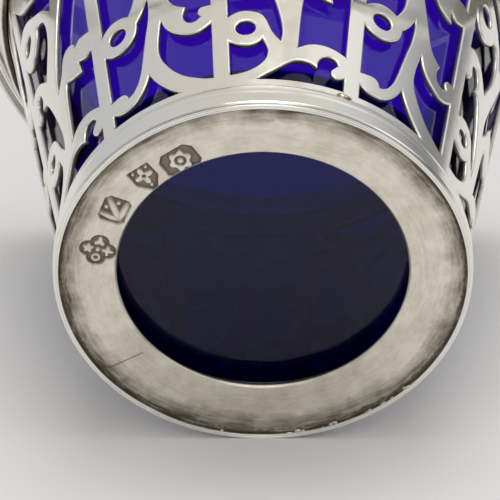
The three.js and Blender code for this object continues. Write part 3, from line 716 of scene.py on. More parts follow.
# From, to and step in degrees: where the punches struck, and the rest of the ring.
PLATE_ARCS = ((-92.0, -18.0, 0.33), (-18.0, 268.0, 1.25))
plate_angles = np.radians(np.concatenate([np.arange(*arc) for arc in PLATE_ARCS]))
plate_profile = [
    (HOLE_RADIUS, PLATE_UNDERSIDE + 0.26, 0.1),
    (HOLE_RADIUS + 0.24, PLATE_UNDERSIDE, 0.12),
    *((radius, PLATE_UNDERSIDE, 0.0) for radius in np.arange(*STRUCK_RADII)),
    (PLATE_RADIUS - 0.2, PLATE_UNDERSIDE, 0.4),
    (PLATE_SEAT, PLATE_UNDERSIDE - 0.5, 0.1),
    (PLATE_SEAT, PLATE_UNDERSIDE - 0.2, 0.0),
    (PLATE_RADIUS, PLATE_TOP, 0.1),
    (HOLE_RADIUS + 0.42, PLATE_TOP, 0.1),
    (HOLE_RADIUS, PLATE_UNDERSIDE + 0.5, 0.05),
]
points, faces, normals, _ = turned(plate_profile, angles=plate_angles)
under = np.abs(points[:, 2] - PLATE_UNDERSIDE) < FLAT_WITHIN
x, y = points[:, 0], points[:, 1]
depth, dirt_and_shade = struck(x, y)
slope_x = (struck(x + SLOPE_STEP, y)[0] - struck(x - SLOPE_STEP, y)[0]) / (2 * SLOPE_STEP)
slope_y = (struck(x, y + SLOPE_STEP)[0] - struck(x, y - SLOPE_STEP)[0]) / (2 * SLOPE_STEP)
cut_normals = unit(np.column_stack([slope_x, slope_y, -np.ones(len(x))]))
touched = under & (depth > TINY)
points[under, 2] += depth[under]
normals[touched] = cut_normals[touched]
# The plate's mark number carries the dirt and the painted shade of the punch marks.
plate = points, faces, normals, np.where(under, dirt_and_shade, 0.0)
make_piece("plate", plate, ["base_plate"], [worn_plate])

# %% [markdown]
# ## The sawn wall
# The scrollwork was drawn on flat sheet, pierced, sawn out with a fine blade and filed, and the sheet
# was then rolled into a cone. The mesh is made the same way. One of five equal repeats is drawn flat,
# with x along the middle girth and y up the wall, then filled with triangles, given its thickness and
# its filed edges, and rolled up. An image with holes would be quicker but has no thickness.

# %% Openings of one repeat
REPEATS = 5
REPEAT_ANGLE = 360 / REPEATS
FIRST_POST = -47.2
GIRTH_RADIUS = wall_radius(PLATE_UNDERSIDE + WALL_HEIGHT / 2)
MM_PER_DEGREE = math.radians(GIRTH_RADIUS)

# Round holes: angle in degrees from the post, height above the plate's underside, radius.
EYES = [[7.1, 18.5, 1.2], [42.7, 13, 1.12], [6.6, 43.9, 1.4], [42.7, 35.9, 1.35]]
# Sawn openings: each run lists angle, height pairs from its corner up to the next run.
OPENINGS = [
    # below the first eye
    [[2.3, 8.9], [2.25, 16.8, 4, 16.1, 7.1, 15.7, 10.2, 16.1, 12.4, 17.1, 13.2, 18.2],
     [13.3, 18.9, 15.4, 20.3],
     [16.8, 21.9, 17, 20.4, 16.5, 18.2, 15.5, 16.1, 14.6, 14.1, 13.7, 12.1, 12.7, 10.3, 11.4, 9, 9.9, 8.2],
     [8.4, 7.9, 7.9, 8.5, 7, 8.9, 5.6, 9.05, 4.2, 9]],
    # on the foot band, under the leaf
    [[2.4, 4.8], [2.35, 6.9, 4.2, 6.35, 6.2, 6.1, 8.2, 6.1, 10.2, 6.45, 11.7, 6.95, 13.2, 7.7, 14.6, 8.7],
     [15.4, 9.6, 16.4, 8.6, 17.9, 7.5, 19.7, 6.5, 21.7, 5.6], [24, 4.8]],
    # bowl below the hook
    [[33.65, 5.75],
     [33.7, 14.5, 31.6, 13.8, 29.5, 13.5, 27.5, 13.6, 25.5, 13.95, 23.5, 14.55, 21.9, 15.35, 20.9, 16.2],
     [20.2, 17.3, 19.6, 15.7, 19.1, 14.2, 18.9, 12.6, 19.5, 11.2, 21, 9.8, 22.7, 8.65, 24.7, 7.65,
         26.7, 6.95, 30.9, 6]],
    # tall opening round the hanging leaf
    [[33.7, 17.5], [33.8, 28.6, 31, 28, 29.6, 28.1], [28.2, 28.8, 28.3, 27.7],
     [28.9, 26.7, 26.8, 26.9, 24.8, 27.3, 22.9, 28.1, 21.6, 29.3, 21.5, 30.8, 22.5, 32.1, 24.2, 32.7,
         26.2, 32.6], [28.3, 31.5, 30.2, 31.9, 32, 31.9], [33.85, 31.7],
     [33.9, 49.3, 29.3, 46.2, 24.7, 40.8, 21.1, 35.7, 19.5, 33.2, 18.5, 31, 18.2, 29, 18.6, 27, 19.6, 25.2,
         21.8, 21.6, 23, 20, 24.5, 18.95],
     [27.3, 18.1, 26.6, 17.3, 26.4, 16.6, 26.9, 15.9, 28, 15.45, 29.3, 15.35],
     [31, 15.9, 30.3, 16.4, 30.3, 17, 31, 17.4, 32.3, 17.5]],
    # above the first eye
    [[2.25, 20.2], [2.1, 31, 3.1, 30.6, 4.3, 30.7, 5, 31.5, 4.8, 32.4],
     [4.6, 33, 5.7, 33.7, 7.1, 33.7, 8.3, 33, 8.8, 31.9, 8.4, 31],
     [7.9, 30.4, 9.2, 30.5, 10.8, 29.8, 12.2, 28.2, 13.1, 26.4, 13.4, 24.7, 13.1, 23.1, 12.3, 21.9],
     [11, 20.75, 8.7, 21.2, 6, 21.25, 3.7, 20.8]],
    # below the third eye
    [[13.3, 32.9, 15, 34.8, 16.6, 36.6, 17.6, 38.3, 17.9, 40, 17.4, 41.5, 16.2, 42.6],
     [13.6, 43.3, 12.4, 41.9, 10.8, 40.9, 8.8, 40.1, 6.8, 39.8, 4.8, 40.1, 3.2, 40.9], [1.85, 42.3],
     [1.95, 35.4, 3.8, 35.8, 5.6, 35.8, 7.6, 35.4, 9.6, 34.8]],
    # under the border, above the third eye
    [[1.75, 50.4], [1.8, 47.6, 6.2, 47.9, 10, 47, 13.6, 45.4, 17.6, 43.7], [20.4, 41.8, 22.3, 44.3],
     [27.3, 50.4]],
    # below the second eye
    [[47.1, 11.2, 48.4, 9.5, 48.3, 8.7, 47.7, 7.9, 46.5, 7.2, 44.9, 6.6, 42.8, 6.1, 40.6, 5.85],
     [38.4, 5.75], [38.3, 10.95, 40.5, 10.4, 43.3, 10.2, 45.7, 10.5]],
    # above the second eye
    [[38.3, 15.05], [38.05, 23, 39.1, 22.6, 40.3, 22.7, 41, 23.5, 40.8, 24.4],
     [40.6, 25, 41.7, 25.7, 43.1, 25.7, 44.3, 25, 44.8, 23.9, 44.4, 23],
     [43.9, 22.4, 45.2, 22.5, 46.8, 21.7, 48.3, 20.1, 49.8, 18, 51, 16, 51.9, 14, 52.2, 12.3],
     [51.8, 11, 49.8, 12.3], [48.5, 13.9, 47.2, 15, 44.9, 15.6, 42.1, 15.8, 40, 15.55]],
    # window between the fork and the post
    [[56.6, 10.2, 57.1, 15, 57.8, 18.4], [58.6, 19.6, 60.6, 19], [65.3, 18.3, 65.1, 19.4],
     [64.6, 20.4, 66.2, 20, 67.7, 19.8], [69.9, 20.2],
     [69.65, 10.3, 67.7, 10.75, 65.7, 11.05, 63.7, 11.2, 61.2, 11.15, 59, 10.85]],
    # on the foot band, inside the arch
    [[45.7, 4.8, 50.2, 6.2, 54.2, 7.6, 56.2, 8, 58.2, 8.1, 60.2, 7.9],
     [62, 7.3, 62.1, 8.2, 62.9, 9, 64.3, 9.5, 65.9, 9.5, 67.2, 9.1],
     [67.6, 8.5, 66, 7.7, 65.7, 7.1, 66.4, 6.6, 67.8, 6.4], [69.65, 6.9], [69.6, 4.8]],
    # tall triangle beside the post
    [[54.3, 19.9, 54, 21.4, 54.4, 23, 55.5, 25.2, 57.1, 27.7, 60.7, 32.8, 65.3, 38.2], [70, 41.4],
     [69.95, 23.3, 68.4, 23.5, 66.2, 23.6],
     [64.3, 23.1, 63.9, 23.9, 62.6, 24.3, 60.8, 24.4, 59.2, 24, 57.9, 23, 57, 21.8]],
    # below the fourth eye
    [[49.3, 24.9, 51, 26.8, 52.6, 28.6, 53.6, 30.3, 53.9, 32, 53.4, 33.4, 52.2, 34.5],
     [49.6, 35.2, 48.4, 33.9, 46.8, 32.9, 44.8, 32.1, 42.8, 31.8, 40.8, 32.1, 39.2, 32.9], [38, 34.3],
     [38.05, 27.4, 39.8, 27.8, 41.6, 27.8, 43.6, 27.4, 45.6, 26.8]],
    # above the fourth eye
    [[38.1, 39.6, 42.2, 39.9, 46, 39, 49.6, 37.5, 53.6, 36], [56.6, 34, 58.2, 36.4],
     [60.4, 39.5, 57, 39.3, 53, 39.7, 47.2, 41.1, 41.7, 43.1], [37.95, 46.4]],
    # half moon under the border
    [[42.6, 50.4, 44.6, 47.6, 47.2, 45.4, 50.4, 43.8, 54, 42.9, 57.6, 43, 60.8, 44.3, 63.6, 46.9],
     [66, 50.4]],
    # small triangle beside the post
    [[62.6, 42.3, 65, 43, 67.5, 43.3], [70.05, 43.2], [70.15, 49.9, 68.6, 47.9, 66.6, 45.4, 64.6, 43.6]],
]
print(len(OPENINGS), "sawn openings and", len(EYES), "drilled eyes in each of", REPEATS, "repeats")

# %% [markdown]
# ## Smooth outlines
# Each opening is a ring of smooth runs that meet in corners, which is how a saw blade travels. A
# Catmull-Rom curve passes through the points of a run, and is then divided into equal short steps.

# %% Outlines
SAW_STEP = 0.42
CURVE_STEPS = 24
EYE_STEPS = 28
SHARPEST_MITRE = 0.4


def smooth_run(corners, spacing):
    p = np.array(corners, float)
    p = np.vstack([p[:1], p, p[-1:]])
    t = np.linspace(0, 1, CURVE_STEPS, endpoint=False)[:, None]
    fine = []
    for i in range(1, len(p) - 2):
        v0, v1 = (p[i + 1] - p[i - 1]) / 2, (p[i + 2] - p[i]) / 2
        a = 2 * p[i] - 2 * p[i + 1] + v0 + v1
        b = -3 * p[i] + 3 * p[i + 1] - 2 * v0 - v1
        fine.append(((a * t + b) * t + v0) * t + p[i])
    fine = np.vstack([*fine, p[-1:]])
    travelled = np.concatenate([[0], np.cumsum(np.linalg.norm(np.diff(fine, axis=0), axis=1))])
    steps = max(1, round(travelled[-1] / spacing))
    stops = np.linspace(0, travelled[-1], steps + 1)[:-1]
    return np.column_stack([np.interp(stops, travelled, fine[:, k]) for k in (0, 1)])


def opening_outline(runs):
    outline = []
    for index, run in enumerate(runs):
        flat = run + runs[(index + 1) % len(runs)][:2]
        corners = [(flat[i] * MM_PER_DEGREE, flat[i + 1]) for i in range(0, len(flat), 2)]
        outline.append(smooth_run(corners, SAW_STEP))
    return np.vstack(outline)


def eye_outline(eye):
    angle, height, radius = eye
    across = radius * GIRTH_RADIUS / wall_radius(height + PLATE_UNDERSIDE)
    turns = full_circle(EYE_STEPS)
    return np.column_stack([angle * MM_PER_DEGREE + across * np.cos(turns), height + radius * np.sin(turns)])


def signed_area(ring):
    x, y = ring.T
    return 0.5 * np.sum(x * np.roll(y, -1) - np.roll(x, -1) * y)


def outward_directions(ring):
    """Away from the inside of a ring that runs anticlockwise, as far as a mitred corner needs."""
    edge = unit(np.roll(ring, -1, axis=0) - ring)
    after = np.column_stack([edge[:, 1], -edge[:, 0]])
    both = unit(np.roll(after, 1, axis=0) + after)
    stretch = 1 / np.clip(np.sum(both * after, axis=1), SHARPEST_MITRE, 1)
    return both, stretch[:, None]


outlines = [opening_outline(runs) for runs in OPENINGS] + [eye_outline(eye) for eye in EYES]
outlines = [ring if signed_area(ring) > 0 else ring[::-1] for ring in outlines]
print(sum(len(ring) for ring in outlines), "points round the openings of a repeat")

# %% [markdown]
# ## Filling the metal
# The metal between the openings is filled with triangles. Their corners lie on the outlines and on a
# staggered grid, and a Delaunay triangulation that keeps the outlines as edges joins them.

# %% Triangles between outlines
# How near, in steps of the grid, an inner point may come to an outline or to the far seam.
OFF_OUTLINE, OFF_SEAM = 0.45, 0.3


def inside_ring(points, ring):
    x, y = points[:, :1], points[:, 1:]
    x0, y0 = ring.T
    x1, y1 = np.roll(ring, -1, axis=0).T
    crosses = (y0 > y) != (y1 > y)
    with np.errstate(divide="ignore", invalid="ignore"):
        left = x < (x1 - x0) * (y - y0) / (y1 - y0) + x0
    return np.sum(crosses & left, axis=1) % 2 == 1


def in_metal(points, edge, holes):
    return inside_ring(points, edge) & ~np.any([inside_ring(points, ring) for ring in holes], axis=0)


def filled(border, edge, holes, grid):
    """Triangles between an edge and its holes, with inner points on a grid that starts at the border."""
    low, high = border.min(0), border.max(0)
    xs, ys = (np.arange(low[k] + grid, high[k], grid) for k in (0, 1))
    seeds = np.array([(x + (j % 2) * grid / 2, y) for j, y in enumerate(ys) for x in xs])
    seeds = seeds[seeds[:, 0] < high[0] - OFF_SEAM * grid]
    seeds = seeds[in_metal(seeds, edge, holes)]
    outline_points = np.vstack([edge, *holes])
    gaps = np.sqrt(((seeds[:, None] - outline_points[None]) ** 2).sum(2)).min(1)
    flat = np.vstack([outline_points, seeds[gaps > OFF_OUTLINE * grid]])
    links, start = [], 0
    for ring in (edge, *holes):
        links += [(start + i, start + j) for i, j in ring_pairs(len(ring))]
        start += len(ring)
    found = delaunay_2d_cdt([Vector(p) for p in flat], links, [], 0, 1e-7)
    assert len(found[0]) == len(flat), "an outline crosses itself"
    triangles = np.array([face for face in found[2] if len(face) == 3])
    triangles = triangles[in_metal(flat[triangles].mean(1), edge, holes)]
    a, b, c = (flat[triangles[:, k]] for k in range(3))
    clockwise = (b - a)[:, 0] * (c - a)[:, 1] - (b - a)[:, 1] * (c - a)[:, 0] < 0
    triangles[clockwise] = triangles[clockwise][:, ::-1]
    return flat, triangles


# %% [markdown]
# ## Sheet with filed edges
# The filled drawing becomes the front and the back of the sheet. Six rows of points run through the
# thickness at each opening: flat face, filed corner, sawn face, filed corner, back face. The corners
# are what catch the light as thin bright lines. Where two openings are close, less is filed away.

# %% Cutting a sheet
# Across a filed corner: how far in from the edge, how deep, and which way the metal faces.
FILED_CORNER = [(1.0, 0.0, 0), (0.3, 0.3, 45), (0.0, 1.0, 90)]
MOST_OF_ROOM = 0.7  # share of the room in the metal that a corner may take
WIDENING = 0.12  # most that the filed width may grow from one point to the next


def room_in_metal(ring, direction, everything):
    """Radius of the largest circle that fits in the metal and touches the edge at each point."""
    between = everything[None] - ring[:, None]
    ahead = np.sum(between * direction[:, None], axis=2)
    squared = np.sum(between**2, axis=2)
    return np.where((ahead > TINY) & (squared > 1e-9), squared / (2 * np.maximum(ahead, TINY)), 99.0).min(1)


def cut_sheet(border, openings, thickness, filed, grid, place, file_border=False):
    """place(flat, depth) returns points and three directions: out, across and upward."""
    rings = [(ring, 1.0) for ring in openings] + ([(border, -1.0)] if file_border else [])
    everything = np.vstack([ring for ring, _ in rings])
    cuts = []
    for ring, side in rings:
        outward, stretch = outward_directions(ring)
        into_metal = outward * side
        width = np.minimum(filed, MOST_OF_ROOM * room_in_metal(ring, into_metal, everything))
        nearby = [np.roll(width, k) + WIDENING * abs(k) for k in (-3, -2, -1, 1, 2, 3)]
        width = np.minimum.reduce([width, *nearby])
        cuts.append((ring, side, into_metal, into_metal * stretch * width[:, None], width))
    filed_to = [ring + inward for ring, _, _, inward, _ in cuts]
    edge, holes = (filed_to[-1], filed_to[:-1]) if file_border else (border, filed_to)
    flat, triangles = filled(border, edge, holes, grid)

    points, normals, faces, count = [], [], [], 0
    for depth, sign in ((0, 1), (thickness, -1)):
        where, out, _, _ = place(flat, depth)
        points.append(where)
        normals.append(out * sign)
        faces += (triangles[:, ::sign] + count).tolist()
        count += len(flat)
    kinds = [0] * len(faces)
    if not file_border:
        level_edges = [(i, j) for i, j in ring_pairs(len(border)) if abs(border[i, 1] - border[j, 1]) < TINY]
        faces += [(i, i + len(flat), j + len(flat), j) for i, j in level_edges]
    rows = [(inset, depth, 0.0, angle) for inset, depth, angle in FILED_CORNER]
    rows += [(inset, -depth, thickness, 180 - angle) for inset, depth, angle in reversed(FILED_CORNER)]
    for ring, side, into_metal, inward, width in cuts:
        quads = [tuple(count + v for v in quad) for quad in woven(len(rows), len(ring))]
        faces += quads if side > 0 else [quad[::-1] for quad in quads]
        for inset, depth, level, angle in rows:
            where, out, across, upward = place(ring + inward * inset, level + depth * width)
            opening = -(into_metal[:, :1] * across + into_metal[:, 1:] * upward)
            points.append(where)
            c, s = cos_sin(angle)
            normals.append(out * c + opening * s)
            count += len(ring)
    kinds += [1] * (len(faces) - len(kinds))
    return np.vstack(points), faces, np.vstack(normals), kinds


# %% [markdown]
# ## Rolling up the wall
# The flat drawing is wrapped round the cone: a distance along the girth becomes an angle, and depth
# is measured towards the axis. The inside of the wall and the strip just above the foot are never
# reached by a polishing cloth, so they carry more tarnish.

# %% Pierced wall
TAPER_ANGLE = math.atan(WALL_TAPER)
WALL_FILED = 0.22
WALL_GRID = 1.1
SHEET_COLUMNS, SHEET_ROWS = 73, 48
FOOT_DIRT_HEIGHT, FOOT_DIRT = 0.9, 0.45
INSIDE_FADE, INSIDE_TARNISH = 0.25, 0.75


def on_the_wall(flat, depth):
    angle = np.radians(FIRST_POST + flat[:, 0] / MM_PER_DEGREE)
    z = flat[:, 1] + PLATE_UNDERSIDE
    radius = wall_radius(z) - depth
    round_x, round_y, level = np.sin(angle), -np.cos(angle), np.zeros(len(flat))
    lean, rise = math.sin(TAPER_ANGLE), math.cos(TAPER_ANGLE)
    where = np.column_stack([radius * round_x, radius * round_y, z])
    out = np.column_stack([rise * round_x, rise * round_y, level - lean])
    across = np.column_stack([-round_y, round_x, level])
    upward = np.column_stack([lean * round_x, lean * round_y, level + rise])
    return where, out, across, upward


low, high, width = WALL_BOTTOM - PLATE_UNDERSIDE, WALL_HEIGHT, REPEAT_ANGLE * MM_PER_DEGREE
along, seam = np.linspace(0, width, SHEET_COLUMNS), np.linspace(low, high, SHEET_ROWS)[1:-1]
sides = [(along, low), (width, seam), (along[::-1], high), (0.0, seam[::-1])]
border = np.vstack([np.column_stack(np.broadcast_arrays(x, y)) for x, y in sides])
points, faces, normals, kinds = cut_sheet(border, outlines, WALL_THICKNESS, WALL_FILED, WALL_GRID, on_the_wall)
depth = wall_radius(points[:, 2]) - np.hypot(points[:, 0], points[:, 1])
above_foot = np.clip(1 - (points[:, 2] - FOOT_BAND_TOP) / FOOT_DIRT_HEIGHT, 0, 1)
unpolished = np.clip((depth - WALL_FILED) / INSIDE_FADE, 0, 1)
strip = points, faces, normals, np.maximum(INSIDE_TARNISH * unpolished, FOOT_DIRT * above_foot)
wall = joined([moved(strip, math.radians(REPEAT_ANGLE * repeat), "Z") for repeat in range(REPEATS)])
make_piece("pierced_sheet", wall, ["pierced_wall"], [polished_silver, sawn_silver], kinds=kinds * REPEATS)

# %% [markdown]
# ## Ears
# Each handle pivot sits in an ear, a small shaped plate soldered against the outside of the rim. The
# same sheet-cutting function makes it, this time with its own outline filed as well.

# %% Ears
SIDES = (("right", 1), ("left", -1))
EAR_THICKNESS = 1.4
EAR_FILED = 0.2
EAR_GRID = 0.8
PIVOT_GAP = 0.12
STRAP_THICKNESS = 1.5
EAR_INSIDE = RIM_OUTER + 0.15 + 2 * RIM_WIRE_RADIUS + 0.08
EYE_INSIDE = EAR_INSIDE + EAR_THICKNESS + PIVOT_GAP
BORE_RADIUS = 1.09


def bezier(points, count=10):
    p = np.array(points, float)
    t = np.linspace(0, 1, count, endpoint=False)[:, None]
    return sum(math.comb(len(p) - 1, k) * p[k] * t**k * (1 - t) ** (len(p) - 1 - k) for k in range(len(p)))


def circle(x, y, radius, count, end=360.0):
    turns = np.radians(np.linspace(0, end, count, endpoint=False))
    return np.column_stack([x + radius * np.cos(turns), y + radius * np.sin(turns)])


half, head, foot_z, shoulder_z = 4.2, 3.1, RIM_TOP - 1.8, RIM_TOP + 0.4
ear_outline = np.vstack(
    [
        bezier([(-half, foot_z), (-half * 0.55, foot_z - 0.6), (0, foot_z - 1.5)]),
        bezier([(0, foot_z - 1.5), (half * 0.55, foot_z - 0.6), (half, foot_z)]),
        bezier([(half, foot_z), (half, RIM_TOP - 0.2), (head + 0.1, shoulder_z), (head, PIVOT_Z)]),
        circle(0, PIVOT_Z, head, 32, 180),
        bezier([(-head, PIVOT_Z), (-head - 0.1, shoulder_z), (-half, RIM_TOP - 0.2), (-half, foot_z)]),
    ]
)
bore = circle(0, PIVOT_Z, BORE_RADIUS, 32)
for name, side in SIDES:

    def across_the_rim(flat, depth, side=side):
        ones, none = np.ones(len(flat)), np.zeros(len(flat))
        outside = side * (EAR_INSIDE + EAR_THICKNESS - depth)
        where = np.column_stack([outside * ones, side * flat[:, 0], flat[:, 1]])
        directions = [(side * ones, none, none), (none, side * ones, none), (none, none, ones)]
        return (where, *(np.column_stack(d) for d in directions))

    points, faces, normals, _ = cut_sheet(
        ear_outline, [bore], EAR_THICKNESS, EAR_FILED, EAR_GRID, across_the_rim, file_border=True
    )
    make_piece(f"ear_plate_{name}", (points, faces, normals, np.zeros(len(points))), [f"ear_{name}"])

# %% [markdown]
# ## Pivot pins
# A pin passes through each ear and the eye of the handle. It is headed on both ends like a rivet, so
# it is a turned piece laid on its side.

# %% Pivot pins
PIN_RADIUS = 1.0
PIN_STEPS = 48
inner_head = EAR_INSIDE - PIVOT_GAP
outer_head = EYE_INSIDE + STRAP_THICKNESS + PIVOT_GAP
pin_profile = [
    (0.0, inner_head - 0.9),
    (1.1, inner_head - 0.85, 0.5),
    (1.7, inner_head - 0.25, 0.3),
    (1.7, inner_head, 0.1),
    (PIN_RADIUS, inner_head, 0.05),
    (PIN_RADIUS, outer_head, 0.05),
    (2.0, outer_head, 0.1),
    (2.0, outer_head + 0.4, 0.3),
    (1.35, outer_head + 0.95, 0.6),
    (0.0, outer_head + 1.15),
]
pin = turned(pin_profile, closed=False, angles=full_circle(PIN_STEPS))
for name, side in SIDES:
    make_piece(f"pin_{name}", moved(pin, math.pi / 2 * side, "Y", (0, 0, PIVOT_Z)), [f"pivot_pin_{name}"])

# %% [markdown]
# ## Handle
# The swing handle is a flat strap with a fine reed along each edge, bent into a bow and ending in an
# eye on each pivot. Its section is carried along the bow, widening towards the crown. It hangs free,
# resting on the wall on the photograph's upper side.

# %% Bail
SHANK_LENGTH = 12.0
BAIL_RISE = 50.0
EYE_RADIUS = 3.3
STRAP_EYE_STEPS = 64
FACE = STRAP_THICKNESS / 2
REED_DEPTH, REED_TARNISH = 0.45, 0.5
SHANK_WIDTH, CROWN_WIDTH = 4.4, 6.0
WALL_CLEARANCE = 0.1
SHANK_STATIONS, BOW_STATIONS = 8, 120
half_span = EYE_INSIDE + FACE


def hang_angle():
    """Halves the swing until the strap's edge just clears the wall."""
    reach, across = BAIL_RISE - FACE, -CROWN_WIDTH / 2
    clear, beyond = math.pi / 2, math.pi
    for _ in range(30):
        turn = (clear + beyond) / 2
        y = across * math.cos(turn) - reach * math.sin(turn)
        z = PIVOT_Z + across * math.sin(turn) + reach * math.cos(turn)
        if -y > wall_radius(z) + WALL_CLEARANCE:
            clear = turn
        else:
            beyond = turn
    return clear


def strap_section(width):
    """Depth, place across and rounding of each corner: one edge, the middle, the other edge."""
    half = width / 2
    edge = [
        (-FACE, half - 0.2, 0.25),
        (-FACE + 0.3, half, 0.2),
        (FACE - 0.3, half, 0.2),
        (FACE, half - 0.4, 0.25),
        (FACE - REED_DEPTH, half - 0.85, 0.12),
    ]
    return [(x, -y, cut) for x, y, cut in edge] + [(FACE - 0.3, 0.0, 0.6)] + edge[::-1]


bow_rise = BAIL_RISE - SHANK_LENGTH
heights = np.linspace(EYE_RADIUS - 0.9, SHANK_LENGTH, SHANK_STATIONS, endpoint=False)
shank = [(half_span, z, 0.0) for z in heights]
bow = [
    (
        half_span * math.cos(a),
        SHANK_LENGTH + bow_rise * math.sin(a),
        math.atan2(bow_rise * math.cos(a), -half_span * math.sin(a)) - math.pi / 2,
    )
    for a in np.linspace(0, math.pi, BOW_STATIONS)
]
stations = shank + bow + [(-x, z, math.pi) for x, z, _ in reversed(shank)]
points, normals, marks = [], [], []
for x, z, tilt in stations:
    width = SHANK_WIDTH + (CROWN_WIDTH - SHANK_WIDTH) * (z / BAIL_RISE) ** 2
    line, line_normals = softened(strap_section(width), steps=3)
    c, s = math.cos(tilt), math.sin(tilt)
    points += [(x + p.x * c, p.y, z + p.x * s) for p in line]
    normals += [(n.x * c, n.y, n.x * s) for n in line_normals]
    marks += [REED_TARNISH * max(0, 1 - abs(p.x - FACE + REED_DEPTH) / 0.12) for p in line]
size = len(line)
ends = [tuple(range(size))[::-1], tuple(range(len(points) - size, len(points)))]
strap = np.array(points), woven(len(stations), size) + ends, np.array(normals), marks
make_piece("bail", moved(strap, hang_angle(), "X", (0, 0, PIVOT_Z)), ["bail_handle"], body="bail")

eye_side = [(BORE_RADIUS, -FACE, 0.12), (EYE_RADIUS, -FACE, 0.3)]
eye_profile = eye_side + [(radius, -z, cut) for radius, z, cut in reversed(eye_side)]
eye = turned(eye_profile, angles=full_circle(STRAP_EYE_STEPS))
for name, side in SIDES:
    laid = moved(eye, math.pi / 2 * side, "Y", (side * half_span, 0, PIVOT_Z))
    make_piece(f"bail_eye_{name}", laid, body="bail")

# %% [markdown]
# ## Solder
# Round the lowest part of the foot the solder that joins the wire has been left in small beads, and a
# trace of yellowish solder shows where a post meets the band. Each bead is a lump of metal, so it is
# modelled: a small ball pushed flat and made uneven. Their places come from seeded noise, so every
# run gives the same beads.

# %% Solder beads
BEAD_ROWS, BEAD_COLUMNS = 10, 16
BEAD_RADIUS = 23.5
BEAD_SWELL, SWELL_PATTERN = 0.35, 1.6
PRESSED_OUT, PRESSED_DOWN = 0.7, 0.8  # share of its size that a bead keeps outward and upward
# Groups of beads: azimuth in degrees, spread and count.
BEAD_GROUPS = ((166.0, 7.0, 13), (146.5, 4.0, 8), (135.5, 5.0, 8), (-168.0, 2.0, 3))
solder_silver = silver("soldered_silver", "#d8d0bd", "#6a6052", polish=0.28, hammer_mm=0.8, hammer_depth=0.03)


def bead(azimuth, radius, z, size, squash, seed):
    c, s = cos_sin(azimuth)
    out, tangent = Vector((s, -c, 0)), Vector((c, s, 0))
    points, normals, marks = [], [], []
    for i in range(BEAD_ROWS + 1):
        for j in range(BEAD_COLUMNS):
            lat, lon = math.pi * i / BEAD_ROWS - math.pi / 2, 2 * math.pi * j / BEAD_COLUMNS
            direction = Vector((math.cos(lat) * math.cos(lon), math.cos(lat) * math.sin(lon), math.sin(lat)))
            swell = 1 + BEAD_SWELL * noise.noise(direction * SWELL_PATTERN + Vector((seed * 3.1, 0, 0)))
            local = direction * size * swell
            level = tangent * local.x * squash + out * local.y * PRESSED_OUT
            points.append(level + Vector((0, 0, local.z * PRESSED_DOWN)) + out * radius + Vector((0, 0, z)))
            normals.append(tangent * direction.x + out * direction.y + Vector((0, 0, direction.z)))
            marks.append(noise.noise(points[-1] * 2.2) * 1.2 + 0.35)
    faces = [(a, d, c, b) for a, b, c, d in woven(BEAD_ROWS + 1, BEAD_COLUMNS)]
    return np.array(points), faces, np.array(normals), np.clip(marks, 0, 1)


noise.seed_set(7)
beads = []
for centre, spread, count in BEAD_GROUPS:
    for k in range(count):
        shake = noise.random_vector()
        size = 0.17 + 0.2 * abs(shake.z) ** 1.5
        place = (centre + spread * shake.x, BEAD_RADIUS + 0.28 * shake.y, size * 1.08 + 0.04)
        beads.append((*place, size, 1.0 + abs(shake.x), k))
# The trace at the post: azimuth, radius, height, size, how far it is drawn out along, and seed.
beads.append((22.6, wall_radius(FOOT_BAND_TOP) + 0.12, FOOT_BAND_TOP + 0.14, 0.38, 2.4, 41))
print(len(beads), "beads")
make_piece("solder_beads", joined([bead(*row) for row in beads]), materials=[solder_silver])

# %% [markdown]
# ## Table
# The pail lies on its side on a pale table, so the table is a tilted plane that touches the foot and
# the rim. It isn't part of the object. Only its front shows: from behind, the camera looks through
# it and sees the grey of the room.

# %% Table
TOUCH_Z = 1.6
LEAN = math.atan2(RIM_OUTER + 1.2 - FOOT_WIRE_OUTER - 0.2, RIM_TOP - 0.45 - TOUCH_Z)
TABLE_CORNERS = [(-1.5, -1.2), (0.35, -1.2), (0.35, 1.5), (-1.5, 1.5)]
table_normal = Vector((0, -math.cos(LEAN), math.sin(LEAN)))
table_along = Vector((0, math.sin(LEAN), math.cos(LEAN)))
table_touch = Vector((0, FOOT_WIRE_OUTER + 0.22, TOUCH_Z)) * MM

material, node = new_material("pale_table")
back = node("NewGeometry", give="Backfacing")
seen = node("LightPath", give="Is Camera Ray")
hide = node("Math MULTIPLY", (back, seen))
top = node("BsdfDiffuse", {"Color": linear("#f1f1f1")})
clear = node("BsdfTransparent")
node("OutputMaterial", {"Surface": node("MixShader", (hide, top, clear))})

mesh = bpy.data.meshes.new("table")
corners = [table_touch + Vector((x, 0, 0)) + table_along * t for x, t in TABLE_CORNERS]
mesh.from_pydata(corners, [], [(0, 1, 2, 3)])
mesh.materials.append(material)
table = bpy.data.objects.new("table", mesh)
bpy.context.scene.collection.objects.link(table)
table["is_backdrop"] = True
print("table faces", [round(v, 2) for v in mesh.polygons[0].normal])

# %% [markdown]
# ## Room
# Polished silver shows whatever stands round it, so the room matters as much as the lamps. It is a
# pale room, darker on the camera's side, with a dark doorway low on the right, a bright window in
# front above the table, and a ceiling that is a little warmer than the walls.

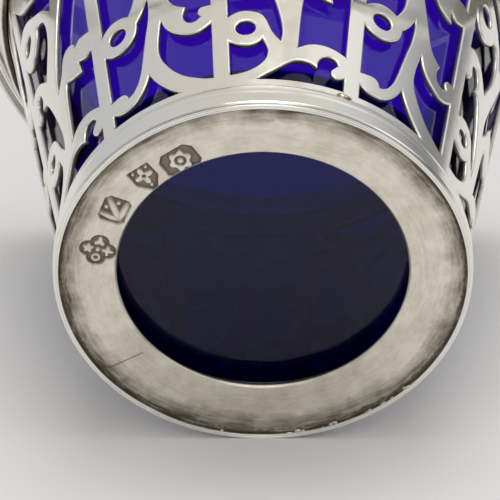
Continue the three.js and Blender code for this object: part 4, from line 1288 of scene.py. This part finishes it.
# %% Room
world = bpy.data.worlds.new("pale_room")
world.use_nodes = True
world.node_tree.nodes.clear()
node = partial(add_node, world.node_tree)
towards = node("TexCoord", give="Generated")
height = node("VectorMath DOT_PRODUCT", (towards, table_normal), "Value")
behind = node("VectorMath DOT_PRODUCT", (towards, table_along), "Value")
aside = node("SeparateXYZ", (towards,), "X")
ceiling = node("MapRange", (height, 0.2, 0.9, 0.59, 0.69))
near_wall = node("MapRange", (behind, -0.8, 0.0, 0.36, 1.0))
room = node("Math MULTIPLY", (ceiling, near_wall))
to_right = node("MapRange", (aside, 0.2, 0.5))
near_floor = node("MapRange", (height, 0.15, 0.5, 0.33, 0.0))
doorway = node("Math MULTIPLY", (to_right, near_floor))
in_front = node("MapRange", (behind, -0.3, -0.55, 0.0, 0.22))
above_table = node("MapRange", (height, 0.0, 0.2))
window = node("Math MULTIPLY", (in_front, above_table))
shaded = node("Math SUBTRACT", (room, doorway))
glow = node("Math ADD", (shaded, window))
warmth = node("MapRange", (height, 0.5, 0.95))
tint = node("Mix", {0: warmth, 6: linear("#fafbff"), 7: linear("#fff8ec")}, 2, data_type="RGBA")
sky = node("Background", {"Color": tint, "Strength": glow})
node("OutputWorld", {"Surface": sky})
bpy.context.scene.world = world
print("room of", len(world.node_tree.nodes), "nodes")

# %% [markdown]
# ## Lamps
# A large soft lamp hangs above, as in a product photograph, and four weaker ones fill in the front,
# the right and the back. All are discs that face the pail, so their mirror images have soft edges.

# %% Lamps
LAMP_DISTANCE = 0.9
# Each lamp: name, direction from the pail, width in metres and watts.
LAMPS = [
    ("softbox_above", (0.05, -1.0, 0.2), 0.6, 2.3),
    ("softbox_front", (0.02, -0.78, -0.62), 0.45, 0.6),
    ("softbox_side", (0.85, -0.5, -0.2), 0.5, 0.6),
    ("softbox_right", (0.47, -0.66, 0.59), 0.4, 0.1),
    ("softbox_behind", (0.1, -0.3, 0.95), 0.5, 0.18),
]
for name, direction, size, watts in LAMPS:
    lamp = bpy.data.objects.new(name, bpy.data.lights.new(name, "AREA"))
    lamp.data.shape = "DISK"
    lamp.data.size = size
    lamp.data.energy = watts
    lamp.location = Vector(direction).normalized() * LAMP_DISTANCE
    lamp.rotation_mode = "QUATERNION"
    lamp.rotation_quaternion = Vector(direction).to_track_quat("Z", "Y")
    bpy.context.scene.collection.objects.link(lamp)
print("lamps:", [name for name, *_ in LAMPS])

# %% [markdown]
# ## Finish
# The dressed pail must be as large as the CAD model, so its box is printed.
# The Standard view shows a colour as it was chosen.

# %% Sizes and finish
low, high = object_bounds()
print("visual size in mm:", [round(1000 * s, 1) for s in high - low])
bpy.context.scene.view_settings.view_transform = "Standard"
